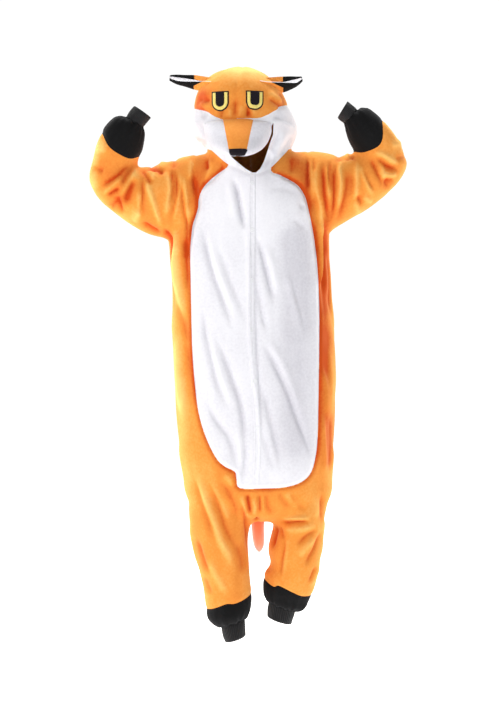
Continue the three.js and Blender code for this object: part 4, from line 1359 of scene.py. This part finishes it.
def makeSkin():
    look = skinLook
    tubes = [(bodyRows, look["bodyPower"]), (hoodRows, look["limbPower"])]
    tubes += [(rows, look["limbPower"]) for rows in limbRows.values()]
    parts = [tubeMesh(rows, look["around"], power, look["ringSpacing"]) for rows, power in tubes]
    skin = skinned(joined("skin", parts), look["voxel"])
    points, edges = pointsOf(skin), edgesOf(skin)
    points = relaxed(points, edges, 0.5, look["evenRounds"])
    ease = np.zeros(len(points))
    for centre, size in softPlaces:  # full at the centre, and reaching further from front to back
        apart = np.linalg.norm((points - centre) * (1, 0.6, 1), axis=1)
        ease = np.maximum(ease, eased(1.6 - apart / size))
    points = relaxed(points, edges, 0.5 * ease[:, None], look["softRounds"])
    movePoints(skin, points)
    normals = normalsOf(skin)

    neck = np.array(seams["neckFront"], float)
    neckHeight = np.interp(points[:, 0], neck[:, 0], neck[:, 1])
    aboveNeck = eased((points[:, 2] - neckHeight) / look["neckBlend"] + 0.5)
    aboveNeck *= np.abs(points[:, 0] - look["hoodMiddle"]) < look["hoodReach"]
    flat = inView(points, "front")
    height = np.zeros(len(points))
    for table, strength, way in ((frontFolds, look["frontFold"], -1), (backFolds, look["backFold"], 1)):
        facing = turnedBy(way * normals[:, 1], 0.2, 0.5)
        for name, rows in table.items():
            share = aboveNeck if name in ("forehead", "cheeks", "hood") else 1 - aboveNeck
            height += strength * foldHeights(flat, rows) * facing * share
    height += look["backFold"] * foldHeights(flat, sleeveFolds)
    for name, way in (("left", -1), ("right", 1)):
        facing = turnedBy(way * normals[:, 0], -0.45, 0.4)
        outer = way * points[:, 0] > look["sideFrom"]
        height += foldHeights(inView(points, "side"), sideFolds[name]) * facing * outer
    height += look["broadLump"] * lumps(points, look["broadSize"], 11) * (1 - look["hoodCalm"] * aboveNeck)
    height += look["fineLump"] * lumps(points, look["fineSize"], 12)
    height += gatherHeights(points)
    # painted light on the crests of folds and painted shade in their troughs
    tone = 0.5 + look["crestPaintedLight"] * np.maximum(height, 0) + look["troughPaintedShade"] * np.minimum(height, 0)
    # painted light and shade on the front, from the table above
    tone += paintedLightAndShadeTones(points, normals)
    swell, edgeShading = bellyEdge(points, normals)
    tone += edgeShading
    height += swell + seamDips(points, normals, aboveNeck) + hemRidge(points, normals, aboveNeck)
    movePoints(skin, points + normals * height[:, None])
    setPaintedShading(skin, tone)
    return skin, tone


skin, skinShading = makeSkin()
skinTree = treeOf(skin)
skinPlaces = placesOf(skin)
print("skin made:", len(skin.data.vertices), "points")


# ---- The panels, cut from the skin ----
bladeReach = 320
beforeMiddle = -20  # a cut that stops here leaves the back whole
neckOverlap = 0.5


def makeShell():
    points, normals, faces = pointsOf(skin), normalsOf(skin), facesOf(skin)
    inside = [tuple(index + len(points) for index in reversed(face)) for face in faces]
    return newPiece("shell", np.vstack([points, points - clothThickness * normals]), faces + inside)


def seamBlade(name, start=-bladeReach, end=bladeReach):
    return blade(smoothSeam(name), seamViews.get(name, "front"), start, end, name == "belly")


upper = partedInto(carved(makeShell(), [
    seamBlade("neckFront", end=neckOverlap), seamBlade("neckBack", start=-neckOverlap)]),
    {"hood": (-21, 0, 255), "suit": (0, -140, -500)})
panels = partedInto(carved(upper["suit"], [seamBlade(name) for name in limbCuts]), {
    "trunk": (0, -140, -500),
    "sleeve_left": (-458, -22, -80),
    "sleeve_right": (440, -27, -6),
    "sleeve_band_left": (-395, -58, 107),
    "sleeve_band_right": (328, -59, 142),
    "leg_band_left": (-115, -10, -1316),
    "leg_band_right": (155, 18, -1271),
})
panels |= partedInto(carved(panels.pop("trunk"), [
    seamBlade("side"), seamBlade("centreFront", end=0), seamBlade("centreBack", start=0),
    seamBlade("belly", end=beforeMiddle)]), {
    "front_left": (-200, -60, -700),
    "front_right": (220, -60, -700),
    "back_left": (-120, 120, -400),
    "back_right": (120, 120, -400),
    "belly_left": (-80, -135, -500),
    "belly_right": (80, -135, -500),
})
halves = partedInto(carved(upper["hood"], [
    prism(faceOpening, "front", -bladeReach, beforeMiddle), seamBlade("hoodCrown")]), {
    "left": (-130, 0, 200), "right": (60, 0, 200)})
panels |= partedInto(carved(halves["left"], [seamBlade("cheekLeft")]), {
    "hood_left": (-130, 0, 200), "cheek_left": (-160, -60, 80)})
panels |= partedInto(carved(halves["right"], [seamBlade("cheekRight")]), {
    "hood_right": (60, 0, 200), "cheek_right": (120, -60, 80)})
print("panels cut:", len(panels))


def dressPanels():
    for node, panel in panels.items():
        kind = "black" if "band" in node else "white" if node.startswith(("belly", "cheek")) else "orange"
        panel.name = camelCase(node)
        setPaintedShading(panel, takenFrom(panel, skinShading, skinPlaces))
        dressed(panel, node, kind)


dressPanels()


# ---- Ribbed cuffs ----
cuffLook = {
    "power": 1.05,
    "ribs": 44,
    "columnsPerRib": 6,
    "ribHeight": 1.0,
    "rowsAlong": 14,
    "tuck": 0.25,  # share of its length that goes up inside the band
    "tuckIn": 3.2,  # how much narrower it is there
    "wall": 3.0,
    "waist": 1.2,
    "wobble": 0.5,
    "ribPaintedShade": 0.25,
}


def makeCuff(node, rows):
    look = cuffLook
    around = look["ribs"] * look["columnsPerRib"]
    start, end = np.array(rows[0], float), np.array(rows[1], float)
    tuck, tuckIn, wall = look["tuck"], look["tuckIn"], look["wall"]
    along = np.linspace(-tuck, 1, look["rowsAlong"])
    # The profile runs down the outside, round the hem and up the inside: place, height, strength of ribs.
    profile = [(t, -tuckIn * eased(-t / tuck), 1) for t in along]
    profile += [(1.03, -0.5, 0.7), (1.05, -wall / 2, 0.3), (1.03, 0.5 - wall, 0)]
    profile += [(t, -wall - tuckIn * eased(-t / tuck), 0) for t in along[::-1]]
    angle = np.arange(around) * 2 * np.pi / around
    rib = 0.5 + 0.5 * np.cos(angle * look["ribs"])
    points, tones = [], []
    for t, height, strength in profile:
        ring = ringPoints(start + t * (end - start), around, look["power"])
        out = ring - ring.mean(0)
        out /= np.linalg.norm(out, axis=1)[:, None]
        waist = look["waist"] * np.sin(t * 2.6) + look["wobble"] * np.cos(3 * angle + 5 * t)
        lift = height + waist + strength * look["ribHeight"] * (rib ** 0.7 - 0.5)
        points.append(ring + out * lift[:, None])
        # rib crests painted lighter, with painted shade in the valleys and all over the inside
        tones.append(look["ribPaintedShade"] + (1 - look["ribPaintedShade"]) * rib * strength)
    faces = []
    count = len(profile)
    for row in range(count):
        for column in range(around):
            one, other = row * around, (row + 1) % count * around
            after = (column + 1) % around
            faces.append((one + column, one + after, other + after, other + column))
    cuff = newPiece(camelCase(node), *outward(np.vstack(points), faces))
    setPaintedShading(cuff, np.concatenate(tones))
    dressed(cuff, node, "rib", 70)
    return cuff


cuffRows = {
    "cuff_left": limbRows["sleeveLeft"][-2:], "cuff_right": limbRows["sleeveRight"][-2:],
    "ankle_cuff_left": limbRows["legLeft"][-2:], "ankle_cuff_right": limbRows["legRight"][-2:],
}
for node, rows in cuffRows.items():
    makeCuff(node, rows)
print("cuffs made")


# ---- Placket and snaps ----
placketLook = {
    "line": [(1, -60), (0, -266), (-2, -487), (8, -639), (16, -791), (11, -920)],
    "width": 18,
    "thickness": 2.0,
    "lift": 0.4,
    "stitchIn": 2.6,  # the stitching lies this far in from each edge
    "stitchDip": 0.7,
    "stitchWidth": 0.8,
    "pucker": 0.3,
    "rowSpacing": 4,
    "columns": 19,
    "snapHeights": [-81, -211, -349, -487, -628, -758],
}
snapProfile = [  # radius and height, from the middle of the cap round to the middle of its back
    (0, 1.2), (2.9, 1.25), (3.3, 0.9), (4.3, 0.9), (4.9, 1.5), (5.7, 1.55), (6.3, 1.1), (6.5, 0.5),
    (6.4, 0), (0, 0)]
snapSides = 40
snapSunk = 0.1  # how far it is pressed into the placket


def makePlacket():
    look = placketLook
    line = smoothLine(look["line"], 12)
    heights = np.arange(line[0, 1], line[-1, 1], -look["rowSpacing"])
    middles = np.interp(-heights, -line[:, 1], line[:, 0])
    across = np.linspace(-1, 1, look["columns"])
    half = look["width"] / 2
    upper, lower, tones = [], [], []
    for z, middle in zip(heights, middles):
        for place in across:
            hit, normal = struck(skinTree, middle + place * half, z)
            stitch = bump(abs(place * half) - half, -look["stitchIn"], look["stitchWidth"])
            pucker = look["pucker"] * math.sin(z * 0.21) * math.cos(place * 2)
            top = look["lift"] + look["thickness"] * (1 - 0.75 * abs(place) ** 14)
            top += pucker - look["stitchDip"] * stitch
            upper.append(Vector(hit) + normal * top)
            lower.append(Vector(hit) + normal * look["lift"] * 0.5)
            # painted shade in the stitching dips and painted light where the strip puckers up
            tones.append(0.5 - 0.25 * stitch + 0.1 * pucker)
    points, faces = closedSheet(np.array(upper), np.array(lower), len(heights), len(across))
    strip = newPiece("placketStrip", points, faces)
    setPaintedShading(strip, np.array(tones * 2))
    tree = treeOf(strip)
    dressed(strip, "placket", "white", 60)
    for index, z in enumerate(look["snapHeights"]):
        x = np.interp(-z, -line[:, 1], line[:, 0])
        makeSnap(index + 1, *struck(tree, x, z))


def makeSnap(number, place, normal):
    sides = snapSides
    angle = np.arange(sides) * 2 * np.pi / sides
    one = normal.orthogonal().normalized()
    other = normal.cross(one)
    points = [Vector(place) + normal * (snapProfile[0][1] - snapSunk)]
    for radius, height in snapProfile[1:-1]:
        for turn in angle:
            aside = one * (radius * math.cos(turn)) + other * (radius * math.sin(turn))
            points.append(Vector(place) + aside + normal * (height - snapSunk))
    points.append(Vector(place) + normal * (snapProfile[-1][1] - snapSunk))
    rings = len(snapProfile) - 2
    faces = []
    for column in range(sides):
        after = (column + 1) % sides
        faces.append((0, 1 + column, 1 + after))
        last = 1 + (rings - 1) * sides
        faces.append((len(points) - 1, last + after, last + column))
        for ring in range(rings - 1):
            low = 1 + ring * sides
            faces.append((low + column, low + sides + column, low + sides + after, low + after))
    snap = newPiece(f"snapCap{number}", *outward(np.array(points), faces))
    dressed(snap, f"snap_{number}", "snap", 35)


makePlacket()
print("placket and snaps made")


# ---- Felt shapes laid on a form ----
def layShape(name, outline, tree, low, high, rings=(0.3, 0.6, 0.82, 0.95, 1.0), dome=0.0, edge=0.45):
    outline = np.asarray(outline, float)
    centre = outline.mean(0)
    upper, lower = [], []
    for share in (0.0, *rings):
        for x, z in (centre + share * (outline - centre) if share else centre[None]):
            hit, normal = struck(tree, x, z)
            top = high + dome * (1 - share ** 2.5)
            if share == rings[-1]:
                top -= edge
            upper.append(Vector(hit) + normal * top)
            lower.append(Vector(hit) + normal * low)
    count, around = len(upper), len(outline)
    faces = []
    for column in range(around):
        after = (column + 1) % around
        faces.append((0, 1 + column, 1 + after))
        faces.append((count, count + 1 + after, count + 1 + column))
        for ring in range(len(rings) - 1):
            start = 1 + ring * around
            quad = (start + column, start + around + column, start + around + after, start + after)
            faces.append(quad)
            faces.append(tuple(count + index for index in reversed(quad)))
        last = 1 + (len(rings) - 1) * around
        faces.append((last + column, count + last + column, count + last + after, last + after))
    return newPiece(name, *outward(np.array(upper + lower), faces))


# ---- Felt eyes ----
eyes = {"left": (-87, 168, 114, 23.5), "right": (7, 169, 116, 24)}  # middle, top, bottom, half width
eyeLayers = [  # name, how far in from the outline, how far below the top, finish
    ("outline", 0, 0, "feltBlack"), ("ring", 3.8, 3.6, "feltYellow"), ("pupil", 12, 2.6, "feltBlack")]
feltThickness = 1.2
feltLift = 0.3  # of the lowest layer, above the hood
feltGap = 0.1


def eyeOutline(x, top, bottom, half, inset, topInset):
    half, bottom, top = half - inset, bottom + inset, top - topInset
    turns = np.linspace(np.pi, 2 * np.pi, 22)
    bowl = np.column_stack([x + half * np.cos(turns), bottom + half + half * np.sin(turns)])
    sides = np.linspace(bottom + half, top, 7)[1:]
    right = np.column_stack([np.full(6, x + half), sides])
    across = np.linspace(half, -half, 11)[1:-1]
    lid = np.column_stack([x + across, np.full(9, top)])
    left = np.column_stack([np.full(6, x - half), sides[::-1]])
    return np.vstack([bowl, right, lid, left])


for side, (x, top, bottom, half) in eyes.items():
    for index, (layer, inset, topInset, finish) in enumerate(eyeLayers):
        low = feltLift + index * (feltThickness + feltGap)
        outline = eyeOutline(x, top, bottom, half, inset, topInset)
        node = f"eye_{layer}_{side}"
        felt = layShape(camelCase(node), outline, skinTree, low, low + feltThickness)
        dressed(felt, node, finish, 60)
print("eyes made")


# ---- Stuffed muzzle and nose ----
muzzleRows = slanting([
    (93, -84, 8, 38, 30, -115, 0),
    (86, -126, 50, 58, 40, -112, 0),
    (71, -133, 56, 80, 38, -112, 0),
    (54, -132, 54, 96, 30, -118, 0),
    (36, -126, 47, 96, 22, -135, 0),
    (17, -117, 37, 84, 18, -158, 0),
    (2, -102, 23, 66, 16, -180, 0),
    (-9, -84, 4, 50, 14, -198, 0),
    (-16, -62, -17, 30, 10, -212, 0),
])
muzzleSeams = {
    "jaw": ("side", [(-90, 70), (-113, 54), (-131, 36), (-154, 17), (-176, 2), (-194, -9), (-222, -26)]),
    "bridge": ("front", [(-84, 112), (-62, -4), (-15, -4), (8, 112)]),
    "chin": ("front", [(-40, -4), (-40, -40)]),
}
noseOutline = [(-62, 2), (-16, 2), (-17, -9), (-24, -15), (-54, -15), (-61, -9)]
muzzleLook = {
    "around": 120,
    "power": 0.95,
    "spacing": 4,
    "voxel": 2.8,
    "rounds": 5,
    "seamDepth": 1.8,
    "seamWidth": 4.0,
    "lump": 0.8,
    "lumpSize": (26, 26, 40),
    "clear": 0.4,
    "tone": 0.12,
    "reliefPaintedLight": 0.05,
    "shade": 0.3,  # the side away from the light is this much darker
    "shadeFrom": -60,
    "shadeOver": 90,
    "bridgeTone": 0.46,
    "bridgeShare": 0.4,
}
noseLook = {"low": 0.3, "high": 1.6, "rings": (0.25, 0.5, 0.72, 0.88, 0.96, 1.0), "dome": 2.6, "edge": 0.9}
muzzleFolds = [
    (14, 1.6, 0, -110, 78, -108, 50, -98, 22),
    (10, -1.2, 0, -84, 74, -78, 40),
    (13, 1.6, 0, 38, 76, 30, 46, 14, 20),
    (9, -1.2, 0, 14, 70, 6, 34),
    (9, -1.5, 0, -62, 84, -30, 82, -10, 85),
]


def skinForm(clear):  # the outside of suit and hood, to cut what is sewn on to it
    return newPiece("form", pointsOf(skin) + clear * normalsOf(skin), facesOf(skin))


def makeMuzzle():
    look = muzzleLook
    tube = tubeMesh(muzzleRows, look["around"], look["power"], look["spacing"])
    body = skinned(joined("muzzle", [tube]), look["voxel"])
    points = relaxed(pointsOf(body), edgesOf(body), 0.5, look["rounds"])
    movePoints(body, points)
    normals = normalsOf(body)
    height = look["lump"] * lumps(points, look["lumpSize"], 21)
    height += foldHeights(inView(points, "front"), muzzleFolds) * eased(-normals[:, 1] * 2)
    shaded = eased((points[:, 0] - look["shadeFrom"]) / look["shadeOver"])
    # painted light on raised lumps and folds, painted shade in their dips and on the side away from the light
    tone = look["tone"] + look["reliefPaintedLight"] * height - look["shade"] * shaded
    for view, line in muzzleSeams.values():
        distance, _, _ = distanceTo(inView(points, view), np.array(line, float))
        height -= look["seamDepth"] * bump(distance, 0, look["seamWidth"])
    movePoints(body, points + normals * height[:, None])
    tree = treeOf(body)
    places = placesOf(body)

    jawView, jawLine = muzzleSeams["jaw"]
    parts = partedInto(carved(body, [
        skinForm(look["clear"]), blade(jawLine, jawView, -bladeReach, bladeReach)]), {
        "muzzle_front": (-41, -200, 55), "muzzle_underside": (-41, -140, 17)})
    parts |= partedInto(carved(parts.pop("muzzle_front"), [
        blade(muzzleSeams[name][1], "front", -bladeReach, 0) for name in ("bridge", "chin")]), {
        "muzzle_bridge": (-41, -200, 55),
        "muzzle_side_left": (-120, -160, 35),
        "muzzle_side_right": (40, -160, 35),
    })
    for node, part in parts.items():
        part.name = camelCase(node)
        share = takenFrom(part, tone, places)
        if node == "muzzle_bridge":
            share = look["bridgeTone"] + look["bridgeShare"] * share
        setPaintedShading(part, share)
        dressed(part, node, "orange" if node == "muzzle_bridge" else "white")
    outline = smoothLine(noseOutline + noseOutline[:1], 5)[:-1]
    nose = layShape("noseFelt", outline, tree, **noseLook)
    dressed(nose, "nose", "feltBlack", 60)


makeMuzzle()
print("muzzle and nose made")


# ---- Ears, each folded lengthwise and drawn out sideways ----
# For each station outwards: x, then the fold below, the front edge and the rear edge, in y and z.
ears = {
    "left": {
        "stations": [
            (-96, -104, 182, -122, 196, -110, 207),
            (-130, -62, 179, -88, 202, -50, 220),
            (-157, -36, 187, -64, 205, -16, 228),
            (-192, -26, 199, -48, 207, -4, 230),
            (-214, -26, 206, -40, 211, -8, 230),
            (-231, -28, 214, -36, 218, -18, 228)],
        "frontChange": [(-122, 213), (-130, 205), (-163, 194), (-163, 150)],
        "rearChange": [(-163, 270), (-163, 150)],
        "outer": (-140, -36, 223), "tip": (-231, -18, 228), "lining": (-192, -48, 207),
    },
    "right": {
        "stations": [
            (13, -100, 185, -124, 200, -112, 208),
            (45, -74, 180, -106, 198, -72, 215),
            (78, -48, 177, -82, 200, -25, 223),
            (106, -32, 188, -60, 202, -4, 226),
            (128, -28, 200, -47, 205, -6, 225),
            (140, -28, 211, -38, 215, -16, 224)],
        "frontChange": [(36, 207), (46, 200), (87, 187), (87, 140)],
        "rearChange": [(87, 270), (87, 140)],
        "outer": (70, -36, 221), "tip": (140, -16, 224), "lining": (106, -60, 202),
    },
}
earLook = {
    "rows": 46,
    "columns": 31,
    "lump": 0.7,
    "lumpSize": (30, 18, 18),
    "clear": 0.4,
    "liningGap": 0.3,
    "hemOverlap": 0.4,
    "hemFrom": 0.9,  # shares of the way from the front edge to the rear one
    "liningTo": 0.885,
}


def earGrid(stations, start=0.0, end=1.0):
    stations = np.array(stations, float)
    at = stations[:, 0]
    places = np.linspace(at[0], at[-1], earLook["rows"])
    order = np.argsort(at)
    fine = curveThrough(places, at[order], stations[order])
    t = np.linspace(start, end, max(5, round(earLook["columns"] * (end - start))))[:, None]
    grid = []
    for x, foldY, foldZ, frontY, frontZ, rearY, rearZ in fine:
        front, rear, fold = (np.array(part) for part in ((frontY, frontZ), (rearY, rearZ), (foldY, foldZ)))
        control = 2 * fold - (front + rear) / 2
        curve = (1 - t) ** 2 * front + 2 * t * (1 - t) * control + t ** 2 * rear
        grid.append(np.column_stack([np.full(len(curve), x), curve]))
    return np.array(grid)


def gridNormals(grid, towards):
    along = np.gradient(grid, axis=0)
    across = np.gradient(grid, axis=1)
    normal = np.cross(across, along)
    return towards * normal / np.linalg.norm(normal, axis=2)[..., None]


def earSheet(name, grid, towards, low, high):
    rows, columns = grid.shape[:2]
    flat, out = grid.reshape(-1, 3), gridNormals(grid, towards).reshape(-1, 3)
    wave = earLook["lump"] * lumps(flat, earLook["lumpSize"], 31)[:, None]
    points, faces = closedSheet(flat + out * (high + wave), flat + out * (low + wave), rows, columns)
    return newPiece(name, points, faces)


def makeEar(side, ear):
    towards = -1 if side == "left" else 1
    foldY = ear["stations"][2][1]  # the colour changes at the third station, in front of the fold and behind
    cloth, gap = clothThickness, earLook["liningGap"]
    cover = earSheet("ear", earGrid(ear["stations"]), towards, 0, cloth)
    hem = earGrid(ear["stations"], earLook["hemFrom"])
    hem = earSheet("hem", hem, towards, -cloth, earLook["hemOverlap"])
    cover = carved(cover, [hem], "UNION")
    outside = carved(cover, [
        skinForm(earLook["clear"]),
        blade(ear["frontChange"], "front", -bladeReach, foldY),
        blade(ear["rearChange"], "front", foldY, bladeReach)])
    parts = partedInto(outside, {f"ear_outer_{side}": ear["outer"], f"ear_tip_{side}": ear["tip"]})
    inner = earGrid(ear["stations"], 0, earLook["liningTo"])
    lining = earSheet("lining", inner, towards, -gap - cloth, -gap)
    lining = carved(lining, [skinForm(earLook["clear"])])
    parts |= partedInto(lining, {f"ear_inner_{side}": ear["lining"]})
    for node, part in parts.items():
        kind = {"outer": "orange", "tip": "black", "inner": "white"}[node.split("_")[1]]
        part.name = camelCase(node)
        dressed(part, node, kind)


for side, ear in ears.items():
    makeEar(side, ear)
print("ears made")


# ---- Stuffed tail ----
tailRows = slanting([
    (-650, -22, 20, 24, 20, 150, 0),
    (-680, -38, 36, 40, 38, 172, 0),
    (-725, -54, 54, 54, 54, 200, 0),
    (-790, -66, 70, 66, 66, 218, 0),
    (-865, -66, 78, 70, 70, 228, 0),
    (-935, -54, 70, 64, 64, 228, 0),
    (-990, -32, 56, 50, 50, 222, 0),
    (-1035, -8, 42, 30, 30, 213, 0),
    (-1070, -1, 38, 20, 20, 205, 0),
    (-1093, 1, 37, 16, 16, 200, 0),
    (-1122, 3, 36, 12, 12, 196, 0),
    (-1140, 7, 34, 8, 8, 194, 0),
    (-1151, 13, 29, 4, 4, 193, 0),
    (-1157, 19, 23, 2, 2, 193, 0),
])
tailLook = {
    "around": 96,
    "power": 1.0,
    "spacing": 4,
    "broadLump": 2.2,
    "broadSize": (40, 40, 60),
    "fineLump": 0.8,
    "fineSize": (14, 14, 30),
    "lumpPaintedShading": 0.06,
    "smoothFrom": -1200,  # the thin tip stays smooth: the lumps grow from here
    "smoothOver": 110,
    "tipHeight": -1055,
    "seamDepth": 1.8,
    "seamWidth": 4,
    "clear": 0.4,
}
tailFolds = [  # seen from behind: pulls from the seam and the tip
    (12, -3.5, 0, -20, -690, -30, -760, -25, -840),
    (12, -3.5, 0, 15, -700, 30, -780, 28, -870),
    (13, -3, 0, -45, -800, -30, -900, -5, -990),
    (13, -3, 0, 60, -820, 45, -910, 30, -1000),
    (10, 3, 0, 5, -860, 12, -940, 18, -1030),
]


def makeTail():
    look = tailLook
    tail = joined("tail", [tubeMesh(tailRows, look["around"], look["power"], look["spacing"])])
    points, normals = pointsOf(tail), normalsOf(tail)
    height = look["broadLump"] * lumps(points, look["broadSize"], 41)
    height += look["fineLump"] * lumps(points, look["fineSize"], 42)
    height += foldHeights(inView(points, "front"), tailFolds)
    height *= np.clip((points[:, 2] - look["smoothFrom"]) / look["smoothOver"], 0.1, 1)
    height -= look["seamDepth"] * bump(points[:, 2], look["tipHeight"], look["seamWidth"])
    movePoints(tail, points + normals * height[:, None])
    cut = blade([(-200, look["tipHeight"]), (200, look["tipHeight"])], "front", -bladeReach, bladeReach)
    parts = partedInto(carved(tail, [skinForm(look["clear"]), cut]), {
        "tail_base": (0, 290, -840), "tail_tip": (20, 189, -1150)})
    for node, part in parts.items():
        part.name = camelCase(node)
        # lighter where the fine lumps rise and darker where they sink: painted light and shade on the lumps
        setPaintedShading(part, 0.5 + look["lumpPaintedShading"] * lumps(pointsOf(part), look["fineSize"], 42))
        dressed(part, node, "orange" if node == "tail_base" else "tailTip")


makeTail()
discard(skin)
print("tail made")
